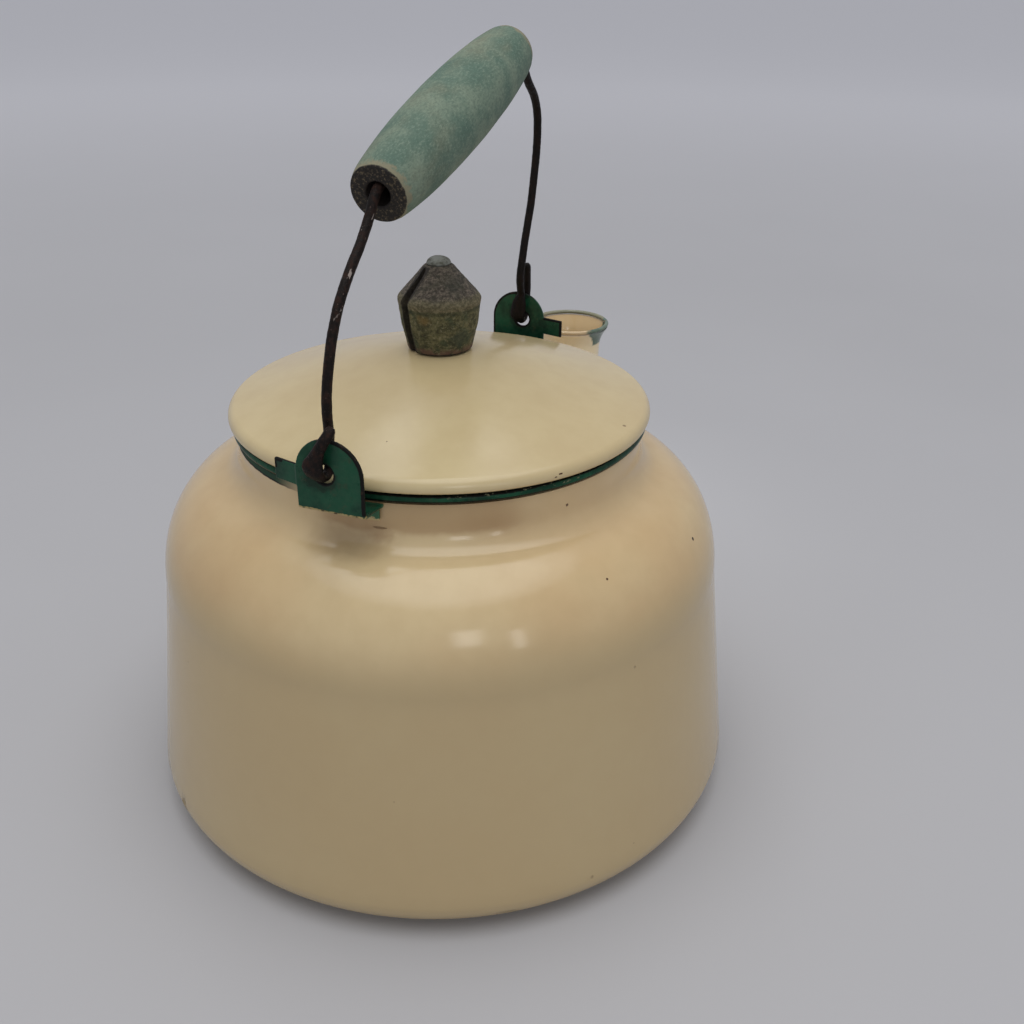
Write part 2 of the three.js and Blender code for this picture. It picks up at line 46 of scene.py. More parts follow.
SHEET = 1.2
SEAT_GAP = 0.3
BODY_RADIUS = 114.3
BASE_CORNER = (16.2, 13.7)
SHOULDER_RADIUS = 105.2
SHOULDER_START = 89.7
SHOULDER_TOP = 128.6
SHOULDER_INNER = 72.0
SHOULDER_POWER = 2.1
NECK_RADIUS = 74.0
NECK_FILLET = 9.0
NECK_TOP = 143.9
BEAD = (73.4, 146.05, 2.2, 1.85)
LID_RADIUS = 76.6
LID_SEAT = 148.2
LID_SKIRT = 5.2
LID_CORNER = 3.7
LID_HEM = 1.5
LID_HEM_WIDTH = 4.8
LID_RISE = 16.9
LID_POWER = 1.15
LID_CROWN_RADIUS = 12.5
LID_TOP = LID_SEAT + LID_SKIRT + LID_RISE
FLANGE_RADIUS = 70.2
FLANGE_BOTTOM = 139.2
KNOB_SEAT = 170.6
KNOB_HEIGHT = 30.0
SPLIT_ANGLE = math.radians(148)
BOLT_RADIUS = 2.4
BORE_RADIUS = 2.8
EAR_REACH = 85.3
EAR_HOLE_HEIGHT = 156.9
EAR_SHIFT = 1.7
EAR_PLATE_RADIUS = 11.5
EAR_HOLE_RADIUS = 3.2
WIRE_RADIUS = 1.7
LEAN = math.radians(3.5)
BAIL_HEIGHT = 109.4
EYE_RADIUS = 3.1
EYE_NIP = 0.4
GRIP_END = 9.6
GRIP_MID = 13.1
GRIP_BORE = 4.0
LIP_RADIUS = 1.0
FLAT_HALF_WIDTH = 3.8

# How finely the large turned pieces are divided, and how many rows of OUTER are side or shoulder
SEGMENTS = 224
SIDE_ROWS = 46

# The spout: where it starts inside the body and ends, its path's handles and its skin's half sizes
SPOUT_START = (90.0, 60.0)
SPOUT_END = (153.5, 134.3)
SPOUT_SLOPE = math.radians(20)
START_HANDLE = 34
END_HANDLE = 36
SPOUT_SIDES = 72
MOUTH_HALF = 14.7
ROOT_HALF_LENGTH = 29
ROOT_HALF_WIDTH = 24
SPOUT_TAPER = 1.7
FLARE = 3.6
FLARE_SHARE = 0.09
FOOT_REACH = 4.0
FOOT_SUNK = 0.28
HOLE_MARGIN = 0.35

# The knob's drying split, from its floor's radius outwards, and the fastening below the lid
SPLIT_FLOOR = 5.4
SPLIT_DEPTH = 9.6
SPLIT_HALF_IN = 0.85
SPLIT_HALF_OUT = 2.05
BOLT_FOOT = 161.7
WASHER = (167.6, 168.8)
NUT = (163.7, 167.3)

REAR_LEG = [
    (-0.976, 0.165), (-0.979, 0.225), (-0.966, 0.296), (-0.936, 0.382),
    (-0.887, 0.462), (-0.81, 0.536), (-0.74, 0.59), (-0.682, 0.645),
]
FRONT_LEG = [
    (0.672, 0.99), (0.76, 0.938), (0.846, 0.88), (0.93, 0.832), (0.983, 0.778),
    (1.01, 0.71), (1.018, 0.63), (1.01, 0.54), (0.993, 0.44), (0.96, 0.346),
    (0.934, 0.26), (0.92, 0.17),
]
GRIP_REAR = (-0.614, 0.704)
GRIP_FRONT = (0.574, 1.0)


# Mesh helpers

def row_faces(rows, sides, closed=False):
    """Quads between rows of the same number of points; closed joins the last row to the first."""
    faces = []
    for k in range(rows if closed else rows - 1):
        low, high = k * sides, ((k + 1) % rows) * sides
        for i in range(sides):
            j = (i + 1) % sides
            faces.append((low + i, low + j, high + j, high + i))
    return faces


def add_object(name, data):
    obj = bpy.data.objects.new(name, data)
    bpy.context.scene.collection.objects.link(obj)
    return obj


def make_object(name, points, faces, local=None, sharp=35.0, smooth=True):
    """A mesh object from points in millimetres, with its own coordinates kept in 'local'."""
    mesh = bpy.data.meshes.new(name)
    mesh.from_pydata([tuple(p) for p in np.asarray(points, float) * MM], [], faces)
    if local is not None:
        kept = mesh.attributes.new("local", "FLOAT_VECTOR", "POINT")
        kept.data.foreach_set("vector", (np.asarray(local, float) * MM).astype(np.float32).ravel())
    tidy = bmesh.new()
    tidy.from_mesh(mesh)
    bmesh.ops.remove_doubles(tidy, verts=tidy.verts, dist=2e-6)
    bmesh.ops.dissolve_degenerate(tidy, dist=1e-7, edges=tidy.edges)
    bmesh.ops.recalc_face_normals(tidy, faces=tidy.faces)
    tidy.to_mesh(mesh)
    tidy.free()
    if smooth:
        mesh.shade_smooth()
        mesh.set_sharp_from_angle(angle=math.radians(sharp))
    return add_object(name, mesh)


def row_caps(rows, sides):
    """Faces that close the first row and the last."""
    return [tuple(range(sides - 1, -1, -1)), tuple((rows - 1) * sides + i for i in range(sides))]


def ringed(name, points, sides, local=None, sharp=35.0):
    """A piece from closed rows of points, the last row joined to the first."""
    points = np.asarray(points).reshape(-1, 3)
    return make_object(name, points, row_faces(len(points) // sides, sides, True), local, sharp)


def settled(obj):
    """The object with its modifiers applied."""
    graph = bpy.context.evaluated_depsgraph_get()
    mesh = bpy.data.meshes.new_from_object(obj.evaluated_get(graph))
    obj.modifiers.clear()
    obj.data = mesh
    return obj


def lathe(profile, segments):
    """Points of a profile of (radius, height) turned round Z, one row per profile point."""
    turn = turns(segments)
    profile = np.asarray(profile, float)
    rows = np.empty((len(profile), segments, 3))
    rows[..., 0] = profile[:, :1] * np.cos(turn)
    rows[..., 1] = profile[:, :1] * np.sin(turn)
    rows[..., 2] = profile[:, 1:]
    return rows.reshape(-1, 3)


def arc(centre, half, start, stop, steps):
    """Part of an oval, as (radius, height) pairs; angles in degrees."""
    angle = np.radians(np.linspace(start, stop, steps + 1))
    return [(centre[0] + half[0] * math.cos(a), centre[1] + half[1] * math.sin(a)) for a in angle]


def straight(a, b, steps):
    """Points from a towards b, without b."""
    across, up = b[0] - a[0], b[1] - a[1]
    return [(a[0] + across * k / steps, a[1] + up * k / steps) for k in range(steps)]


def rough(points, scale, depth, seed=0.0):
    """Noise in 0..depth at points in millimetres; scale is the size of its waves."""
    shift = Vector((seed * 7.31, seed * 3.17, seed * 5.77))
    values = [0.5 + 0.5 * noise.noise(Vector(p) / scale + shift) for p in points]
    return depth * np.clip(np.array(values), 0, 1)


def turns(count):
    """Equal angles all round."""
    return np.arange(count) * TURN / count


def ramp(value, low, high):
    """0 at low, 1 at high, straight between; low may be above high."""
    return np.clip((value - low) / (high - low), 0, 1)


def bisect(low, high, short):
    """The values between low and high at which short(value) stops being true."""
    for _ in range(40):
        middle = (low + high) / 2
        held = short(middle)
        low, high = np.where(held, middle, low), np.where(held, high, middle)
    return (low + high) / 2


def unit(v):
    v = np.asarray(v, float)
    return v / np.linalg.norm(v, axis=-1, keepdims=True)


def away_from_axis(points):
    """Each point's distance from Z and the direction away from it."""
    radius = np.hypot(points[:, 0], points[:, 1])
    across = points[:, :2] / np.maximum(radius, 1e-6)[:, None]
    return radius, np.column_stack([across, np.zeros(len(points))])


# Body

def shoulder_point(angle):
    power = 2 / SHOULDER_POWER
    return (
        SHOULDER_INNER + (SHOULDER_RADIUS - SHOULDER_INNER) * math.cos(angle) ** power,
        SHOULDER_START + (SHOULDER_TOP - SHOULDER_START) * math.sin(angle) ** power,
    )


def neck_foot():
    """The circle that touches both the shoulder and the neck.

    Gives the shoulder's angle there, the slope of its normal and the circle's centre."""
    def touching(angle):
        before, after = shoulder_point(angle - 1e-4), shoulder_point(angle + 1e-4)
        along = np.array(after) - np.array(before)
        normal = unit([along[1], -along[0]])
        return normal, np.array(shoulder_point(angle)) + normal * NECK_FILLET

    angle = bisect(0.8, 1.56, lambda a: touching(a)[1][0] > NECK_RADIUS + NECK_FILLET)
    normal, centre = touching(angle)
    return angle, math.degrees(math.atan2(normal[1], normal[0])), centre


def body_outline(offset):
    """The outline from the edge of the flat base to the top of the neck."""
    reach, height = BASE_CORNER
    outline = arc((BODY_RADIUS - reach, height), (reach + offset, height + offset), -90, 0, 14)
    outline += straight(outline.pop(), (SHOULDER_RADIUS + offset, SHOULDER_START), 14)
    foot_angle, slope, centre = neck_foot()
    for k in range(33):
        angle = foot_angle * k / 32
        radius, level = shoulder_point(angle)
        outline.append((radius + offset * math.cos(angle), level + offset * math.sin(angle)))
    outline += arc(centre, (NECK_FILLET - offset,) * 2, slope - 180, -180, 14)[1:]
    outline += straight((NECK_RADIUS + offset, centre[1]), (NECK_RADIUS + offset, NECK_TOP), 4)[1:]
    outline.append((NECK_RADIUS + offset, NECK_TOP))
    return outline


OUTER = np.array(body_outline(0))
INNER = np.array(body_outline(-SHEET))


def radius_at(outline, height):
    """The radius of the body's side or shoulder at a height."""
    start = int(np.argmax(outline[:, 0]))
    stop = start + SIDE_ROWS
    return np.interp(height, outline[start:stop, 1], outline[start:stop, 0])


# Spout

SPOUT_PATH = np.array([
    (SPOUT_START[0], 0.0, SPOUT_START[1]),
    (
        SPOUT_START[0] + START_HANDLE * math.cos(SPOUT_SLOPE), 0.0,
        SPOUT_START[1] + START_HANDLE * math.sin(SPOUT_SLOPE),
    ),
    (SPOUT_END[0], 0.0, SPOUT_END[1] - END_HANDLE),
    (SPOUT_END[0], 0.0, SPOUT_END[1]),
])


def spout_centre(share):
    """The point of the spout's path at a share of it, and the direction there."""
    a, b, c, d = SPOUT_PATH
    s = np.asarray(share, float)[..., None]
    r = 1 - s
    point = a * r ** 3 + 3 * b * r ** 2 * s + 3 * c * r * s ** 2 + d * s ** 3
    along = 3 * (b - a) * r ** 2 + 6 * (c - b) * r * s + 3 * (d - c) * s ** 2
    return point, unit(along)


def spout_point(share, angle, offset):
    """A point of the spout's skin at a share of its path and an angle round it."""
    share, angle = np.broadcast_arrays(np.asarray(share, float), np.asarray(angle, float))
    centre, along = spout_centre(share)
    taper = (1 - share) ** SPOUT_TAPER
    flare = FLARE * np.maximum(0, 1 - (1 - share) / FLARE_SHARE) ** 2
    half_length = MOUTH_HALF + (ROOT_HALF_LENGTH - MOUTH_HALF) * taper + flare + offset
    half_width = MOUTH_HALF + (ROOT_HALF_WIDTH - MOUTH_HALF) * taper + flare + offset
    across = np.array([0.0, 1.0, 0.0])
    up = np.cross(along, across)
    aside = across * (half_width * np.cos(angle))[..., None]
    return centre + aside + up * (half_length * np.sin(angle))[..., None]


def meets_body(angles, offset, outline):
    """For each angle, the share at which the spout's skin comes out of the body's outline."""
    def inside(share):
        p = spout_point(share, angles, offset)
        return np.hypot(p[:, 0], p[:, 1]) < radius_at(outline, p[:, 2])
    return bisect(np.zeros(len(angles)), np.full(len(angles), 0.75), inside)


def share_at_distance(angles, start, distance):
    """The share at which the outer skin is a distance further on than its start."""
    origin = spout_point(start, angles, 0)

    def nearer(share):
        return np.linalg.norm(spout_point(share, angles, 0) - origin, axis=1) < distance
    return bisect(start, np.full(len(angles), 0.9), nearer)


def make_body():
    """The body with slow dents in its side, and the hole that the spout covers."""
    inner = [tuple(p) for p in INNER[::-1]]
    outer = [tuple(p) for p in OUTER]
    profile = straight((0, 0), outer[0], 8) + outer + inner
    profile += straight(inner[-1], (0, SHEET), 8) + [(0, SHEET)]
    points = lathe(profile, SEGMENTS)
    wave = rough(points, 46, 0.22) + rough(points, 17, 0.05, 3)
    radius = np.maximum(np.hypot(points[:, 0], points[:, 1]), 1)
    fade = ramp(points[:, 2], 6, 26) * ramp(points[:, 2], 140, 125)
    points[:, :2] *= (1 - wave * fade / radius)[:, None]
    body = ringed("body", points, SEGMENTS)
    sides = SPOUT_SIDES
    angles = turns(sides)
    shares = np.linspace(0.0, 0.5, 10)
    rings = np.array([spout_point(np.full(sides, s), angles, HOLE_MARGIN - SHEET) for s in shares])
    rings[0] -= spout_centre(0.0)[1] * 8
    faces = row_faces(len(shares), sides) + row_caps(len(shares), sides)
    cutter = make_object("cutter", rings.reshape(-1, 3), faces)
    cut = body.modifiers.new("spout_hole", "BOOLEAN")
    cut.operation, cut.solver, cut.object = "DIFFERENCE", "EXACT", cutter
    settled(body)
    bpy.data.objects.remove(cutter)
    body.data.shade_smooth()
    body.data.set_sharp_from_angle(angle=math.radians(35))
    return body


def make_bead():
    points = lathe(arc(BEAD[:2], BEAD[2:], -90, 270, 20)[:-1], SEGMENTS)
    wave = rough(points, 9, 0.12, 5)
    centre = np.stack([points[:, 0], points[:, 1], np.zeros(len(points))], 1)
    centre = unit(centre) * BEAD[0] + np.array([0, 0, BEAD[1]])
    points += unit(centre - points) * wave[:, None]
    return ringed("rim", points, SEGMENTS)


def make_spout():
    """The spout's tube with a thin foot on the body; 'local' x is 1 on its outside."""
    sides = SPOUT_SIDES
    angles = turns(sides)
    start = meets_body(angles, 0, OUTER)
    seam = spout_point(start, angles, 0)
    rise = share_at_distance(angles, start, FOOT_REACH)
    top = spout_point(rise, angles, 0)
    tangent = unit(np.roll(seam, -1, 0) - np.roll(seam, 1, 0))
    slope = (SHOULDER_RADIUS - radius_at(OUTER, 20)) / (SHOULDER_START - 20)
    normal = seam.copy()
    normal[:, 2] = -slope * np.hypot(seam[:, 0], seam[:, 1])
    normal = unit(normal)
    outward = unit(np.cross(tangent, normal))
    facing = np.sum(outward * (seam - seam.mean(0)), 1) > 0
    outward = np.where(facing[:, None], outward, -outward)
    foot = seam + outward * FOOT_REACH
    radius = np.hypot(foot[:, 0], foot[:, 1])
    foot[:, :2] *= ((radius_at(OUTER, foot[:, 2]) - FOOT_SUNK) / radius)[:, None]
    rows = []
    for t in np.linspace(0, 1, 8):
        rows.append(foot * (1 - t) ** 2 + 2 * seam * t * (1 - t) + top * t ** 2)
    for t in np.linspace(0, 1, 40)[1:]:
        share = rise + (1 - rise) * (1 - (1 - t) ** 1.5)
        rows.append(spout_point(share, angles, 0))
    outside_rows = len(rows)
    inside = meets_body(angles, -SHEET, INNER)
    rows.append((rows[-1] + spout_point(np.ones(sides), angles, -SHEET)) / 2)
    for t in np.linspace(0, 1, 30):
        share = 1 - (1 - inside) * t ** 1.5
        rows.append(spout_point(share, angles, -SHEET))
    local = np.zeros((len(rows), sides, 3))
    local[:outside_rows, :, 0] = 1
    return ringed("spout", rows, sides, local)


def make_lip():
    """The rolled lip, a ring of round sections on the spout's edge."""
    sides, ring = 96, 14
    angles = turns(sides)
    mouth = np.ones(sides)
    spine = spout_point(mouth, angles, -SHEET / 2) + np.array([0, 0, SEAT_GAP + LIP_RADIUS])
    outward = unit(spout_point(mouth, angles, 1) - spout_point(mouth, angles, 0))
    turn = turns(ring)[:, None]
    up = np.array([0, 0, 1.0])
    rows = [
        spine[k] + LIP_RADIUS * (np.cos(turn) * up + np.sin(turn) * outward[k])
        for k in range(sides)
    ]
    points = np.array(rows).reshape(-1, 3)
    wave = rough(points, 5, 0.08, 8)
    centre = np.repeat(spine, ring, 0)
    points += unit(centre - points) * wave[:, None]
    return ringed("spout_rim", points, ring)


# Lid

def dome_height(radius):
    share = ramp(radius, LID_CROWN_RADIUS, LID_RADIUS - LID_CORNER)
    return float(LID_TOP - LID_RISE * share ** LID_POWER)


def lid_outline(offset):
    edge = LID_RADIUS - LID_CORNER
    slope = LID_POWER * LID_RISE / (edge - LID_CROWN_RADIUS)
    stop = 90 - math.degrees(math.atan(slope))
    hem, corner = (LID_HEM + offset,) * 2, (LID_CORNER + offset,) * 2
    outline = arc((LID_RADIUS - LID_HEM, LID_SEAT + LID_HEM), hem, -90, 0, 8)
    outline += arc((edge, LID_SEAT + LID_SKIRT - LID_CORNER), corner, 0, stop, 14)
    for k in range(1, 37):
        radius = edge - (edge - 8) * k / 36
        outline.append((radius, dome_height(radius) + offset))
    return outline


def make_lid():
    """The lid with slow dents between its crown and its edge."""
    hem = LID_RADIUS - LID_HEM_WIDTH
    profile = [(hem, LID_SEAT)] + lid_outline(0)
    profile += [(BORE_RADIUS, LID_TOP), (BORE_RADIUS, LID_TOP - SHEET)]
    profile += lid_outline(-SHEET)[::-1] + [(hem, LID_SEAT + SHEET)]
    points = lathe(profile, SEGMENTS)
    radius = np.hypot(points[:, 0], points[:, 1])
    fade = ramp(radius, 12, 22) * ramp(radius, 72, 64)
    level = points * [1, 1, 0]
    points[:, 2] -= (rough(level, 34, 0.35, 11) + rough(level, 12, 0.06, 2)) * fade
    return ringed("lid", points, SEGMENTS)


def make_flange():
    outer, inner = FLANGE_RADIUS, FLANGE_RADIUS - SHEET
    top = dome_height(outer) - SHEET - SEAT_GAP
    middle, half = (outer + inner) / 2, (SHEET / 2, SHEET / 2)
    profile = arc((middle, FLANGE_BOTTOM + half[1]), half, -180, 0, 8)
    profile += arc((middle, top - half[1]), half, 0, 180, 8)
    return ringed("lid_ring", lathe(profile, 160), 160, sharp=50)


# Knob: a turned cone over a tapering base, with a wide drying split

def make_knob():
    """The knob round Z, cut open along +X, and then turned to where its split is."""
    profile = [(BORE_RADIUS, 0.0), (5.6, 0.0), (10.4, 0.0), (11.3, 0.2), (11.7, 0.7)]
    profile += straight((11.85, 1.3), (13.8, 9.1), 6) + straight((13.8, 9.1), (14.75, 16.6), 7)
    profile += [(14.85, 17.3), (14.97, 17.9), (14.9, 18.6), (14.5, 19.3)]
    profile += straight((14.0, 19.9), (6.1, 28.8), 11) + [(5.9, 29.1), (5.4, 29.6), (4.8, 29.95)]
    profile += [(BORE_RADIUS, 30.0)]
    around = 110
    rows = []
    for radius, height in profile:
        floor = min(radius, SPLIT_FLOOR)
        wobble = 0.35 * noise.noise(Vector((3.1, 0.4, height * 0.16)))
        half = 0.0
        if radius > SPLIT_FLOOR:
            share = (radius - SPLIT_FLOOR) / SPLIT_DEPTH
            half = SPLIT_HALF_IN + (SPLIT_HALF_OUT - SPLIT_HALF_IN) * share
        lip = half / radius
        angles = lip + (TURN - 2 * lip) * np.arange(around) / (around - 1)
        ring = [(radius * math.cos(a), radius * math.sin(a)) for a in angles]
        for side, steps in ((-1, (0.75, 0.5, 0.25, 0.0)), (1, (0.25, 0.5, 0.75))):
            for step in steps:
                breadth = SPLIT_HALF_IN + (half - SPLIT_HALF_IN) * step if half > 0 else 0
                ring.append((floor + (radius - floor) * step, breadth * side))
        ring = np.array(ring)
        at_split = (np.abs(ring[:, 1]) < 2.7) * (ring[:, 0] > 0)
        ring[:, 1] += wobble * ramp(ring[:, 0], 5.5, 8.5) * at_split
        rows.append(np.column_stack([ring, np.full(len(ring), height)]))
    sides = len(rows[0])
    points = np.array(rows).reshape(-1, 3)
    radius, outward = away_from_axis(points)
    grooves = rough(points * [0.25, 0.25, 1.1], 1.0, 0.24, 6)
    grooves += rough(points * [1, 1, 0.12], 1.1, 0.16, 7)
    skin = np.minimum(ramp(radius, 6.5, 9.5) + 0.5 * ramp(points[:, 2], 20, 26), 1)
    points = points - outward * (grooves * skin)[:, None]
    x, y, z = points.T
    cos, sin = math.cos(SPLIT_ANGLE), math.sin(SPLIT_ANGLE)
    turned = np.column_stack([x * cos - y * sin, x * sin + y * cos, z + KNOB_SEAT])
    return ringed("knob", turned, sides, points, sharp=40)


def make_bolt():
    head = KNOB_SEAT + KNOB_HEIGHT + SEAT_GAP
    profile = [(0, BOLT_FOOT), (BOLT_RADIUS - 0.5, BOLT_FOOT), (BOLT_RADIUS, BOLT_FOOT + 0.5)]
    profile += straight((BOLT_RADIUS, BOLT_FOOT + 0.6), (BOLT_RADIUS, head), 3)
    profile += [(3.9, head), (4.4, head + 0.25)] + arc((0, head + 0.3), (4.35, 2.3), 4, 90, 12)
    points = lathe(profile, 48)
    pits = rough(points, 1.7, 0.28, 4) * ramp(points[:, 2], head, head + 0.5)
    points[:, :2] *= (1 - pits / 6)[:, None]
    points[:, 2] -= pits * 0.5
    return ringed("knob_screw", points, 48)


def make_washer():
    low, top = WASHER
    edge, half = 7.7, (0.3, 0.3)
    profile = [(BORE_RADIUS, low + 0.1), (BORE_RADIUS + 0.1, low)]
    profile += arc((edge, low + 0.3), half, -90, 0, 4) + arc((edge, top - 0.3), half, 0, 90, 4)
    profile += [(BORE_RADIUS + 0.1, top), (BORE_RADIUS, top - 0.1)]
    return ringed("knob_plate", lathe(profile, 64), 64)


def make_nut():
    """A six-sided nut whose corners are turned off above and below."""
    sides, corner, sixth = 72, 5.0, math.pi / 6
    low, top = NUT
    angle = turns(sides)
    flat = corner * math.cos(sixth) / np.cos((angle + sixth) % (2 * sixth) - sixth)
    profile = [(BORE_RADIUS, low + 0.3), (3.1, low), (4.2, low), (9, low + 0.45)]
    profile += [(9, top - 0.45), (4.2, top), (3.1, top), (BORE_RADIUS, top - 0.3)]
    rows = []
    for radius, height in profile:
        reach = np.minimum(radius, flat)
        x, y = reach * np.cos(angle), reach * np.sin(angle)
        rows.append(np.column_stack([x, y, np.full(sides, height)]))
    return ringed("knob_nut_hex", rows, sides, sharp=25)


# Ears: the pressed sheet of the solids, with softened edges

def read_vectors(mesh, key):
    values = np.zeros(len(mesh.vertices) * 3)
    mesh.vertices.foreach_get(key, values)
    return values.reshape(-1, 3)


def ear_wear(own, normals, far):
    """Where an ear's enamel is gone, for points in millimetres turned to the front ear's place.

    cut is 1 on bare black edges, foot on the chipped foot and tab on the strip at the neck."""
    radius = np.hypot(own[:, 0], own[:, 1])
    below = own[:, 2] < NECK_TOP + 1.6
    inward = own[:, 0] < EAR_REACH - 0.9
    upright = np.abs(normals[:, 2])
    # How squarely a point looks out of one of the sheet's two faces; its edges look aside
    facing = np.abs(normals[:, 0])
    facing = np.where(below, np.maximum(facing * ~inward, upright), facing)
    on_strip = (own[:, 2] < NECK_TOP - 0.9) | (radius < NECK_RADIUS + 1.9)
    radial = np.abs(np.sum(normals[:, :2] * own[:, :2], 1) / radius)
    on_shelf = own[:, 2] > NECK_TOP - 0.6
    facing = np.where(on_strip, np.maximum(radial, upright * on_shelf), facing)
    cut = ramp(facing, 0.85, 0.35)

    aside, above = own[:, 1] - EAR_SHIFT, own[:, 2] - EAR_HOLE_HEIGHT
    on_plate = (own[:, 0] > EAR_REACH - 0.9) & (above > -12)
    on_plate &= np.abs(aside) < EAR_PLATE_RADIUS + 0.3
    from_edge = EAR_PLATE_RADIUS - np.where(above > 0, np.hypot(aside, above), np.abs(aside))
    at_lug = (aside < 0) & (np.abs(above + 1.9) < 3.4)
    band = ramp(from_edge, 1.3, 0.6) * on_plate * ~at_lug * ramp(aside, -5, -2)
    past = -aside - EAR_PLATE_RADIUS
    on_lug = past > 0.2
    corner = 1.0 if far else ramp(past, 4.5, 6.0)
    band = np.maximum(band, on_lug * ramp(above, 0.4, 1.0) * corner)
    band = np.maximum(band, on_lug * ramp(past, 7.3, 8.2) * ((above > -1.6) | far))
    plain = ramp(aside, -6, -8) * ~on_lug + on_lug * (above < -1.6)
    from_hole = np.hypot(own[:, 1], above) - EAR_HOLE_RADIUS
    hole = ramp(from_hole, 1.1, 0.4) * on_plate
    cut = np.maximum(np.maximum(cut * (1 - 0.8 * plain), band), hole * 0.9)

    foot = ramp(own[:, 2] - NECK_TOP, 1.5, 0.9) * ramp(own[:, 0] - EAR_REACH, -1.2, -0.7)
    tab = ramp(radius - NECK_RADIUS, 2.0, 1.6) * below
    shelf = below * (1 - tab) * inward
    cut = np.maximum(cut * (1 - foot) * (1 - tab) * (1 - shelf), shelf * 0.42)
    return {"cut": cut, "foot": foot, "tab": tab}


def make_ear(name, node):
    ear = add_object(name + "_source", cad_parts[node].data.copy())
    voxels = ear.modifiers.new("voxels", "REMESH")
    voxels.mode, voxels.voxel_size = "VOXEL", 0.00026
    soft = ear.modifiers.new("soft", "SMOOTH")
    soft.factor, soft.iterations = 0.5, 4
    settled(ear)
    mesh = ear.data
    ear.name = mesh.name = name
    mesh.materials.clear()
    far = node == "ear_front"
    side = 1.0 if far else -1.0
    own = read_vectors(mesh, "co") / MM * [side, side, 1]
    normals = read_vectors(mesh, "normal") * [side, side, 1]
    for label, values in ear_wear(own, normals, far).items():
        kept = mesh.attributes.new(label, "FLOAT", "POINT")
        kept.data.foreach_set("value", values.astype(np.float32))
    mesh.shade_smooth()
    return ear


# Bail

PLANE = np.array([0.0, -math.cos(LEAN), -math.sin(LEAN)])


def bail_point(reach, height, aside=0.0):
    point = np.array([reach, -height * math.sin(LEAN), EAR_HOLE_HEIGHT + height * math.cos(LEAN)])
    return point + PLANE * aside


def shared(shares):
    """A point of the bail's plane, given as shares of its reach and height."""
    return bail_point(shares[0] * EAR_REACH, shares[1] * BAIL_HEIGHT)


def eye(side, drop, stub_skew, stub_flat, leg_skew, leg_flat, stub, leg, steps=24):
    """The eye on one side, from the stub's end to where the leg clears the ear.

    Gives its points and how flat the wire is at each, from 0 to 1."""
    leg_reach, stub_reach = EAR_REACH - EYE_RADIUS, EAR_REACH + EYE_RADIUS
    points, flats = [], []

    def add(reach, height, aside, flat):
        points.append(bail_point(side * reach, height, aside * WIRE_RADIUS))
        flats.append(flat)

    for k, (height, aside, flat) in enumerate(stub):
        reach = leg_reach + 2 * WIRE_RADIUS + EYE_NIP if k == 0 else stub_reach
        add(reach, height * EAR_PLATE_RADIUS, aside, flat)
    for k in range(steps + 1):
        angle = math.pi * k / steps
        near_stub, near_leg = math.cos(angle / 2), math.sin(angle / 2)
        skew = stub_skew * max(0.0, near_stub) ** 8 + leg_skew * near_leg ** 8
        flat = stub_flat * max(0.0, math.cos(angle)) ** 1.6
        flat += leg_flat * max(0.0, -math.cos(angle)) ** 1.6
        rise = EYE_RADIUS - EYE_RADIUS * math.sin(angle) - drop * math.sin(angle / 2) ** 0.5
        add(EAR_REACH + EYE_RADIUS * math.cos(angle), rise, skew, flat)
    for height, aside, flat in leg:
        add(leg_reach, height * EAR_PLATE_RADIUS, aside, flat)
    return points, flats


REAR_FACE, FRONT_FACE = shared(GRIP_REAR), shared(GRIP_FRONT)
GRIP_LENGTH = float(np.linalg.norm(FRONT_FACE - REAR_FACE))
GRIP_AXIS = unit(FRONT_FACE - REAR_FACE)
GRIP_UP = np.cross(PLANE, GRIP_AXIS)
RISE_IN_BORE = GRIP_BORE - WIRE_RADIUS - 0.5


def in_grip(face, along, rise):
    """A point of the wire near one end face of the grip."""
    return face + GRIP_AXIS * along + GRIP_UP * rise


def blend(t, low, high, a, b):
    """From a at low to b at high."""
    return (high - t) / (high - low) * a + (t - low) / (high - low) * b


def catmull(points, step):
    """A centripetal Catmull-Rom line through points, sampled about every step."""
    points = [2 * points[0] - points[1], *points, 2 * points[-1] - points[-2]]
    line = []
    for a, b, c, d in zip(points, points[1:], points[2:], points[3:]):
        gaps = [math.sqrt(np.linalg.norm(q - p)) or 1e-6 for p, q in ((a, b), (b, c), (c, d))]
        count = max(2, int(np.linalg.norm(c - b) / step))
        t0, t1 = 0, gaps[0]
        t2, t3 = t1 + gaps[1], t1 + gaps[1] + gaps[2]
        for k in range(count):
            t = t1 + (t2 - t1) * k / count
            ab, bc, cd = blend(t, t0, t1, a, b), blend(t, t1, t2, b, c), blend(t, t2, t3, c, d)
            line.append(blend(t, t1, t2, blend(t, t0, t2, ab, bc), blend(t, t1, t3, bc, cd)))
    line.append(points[-2])
    return line


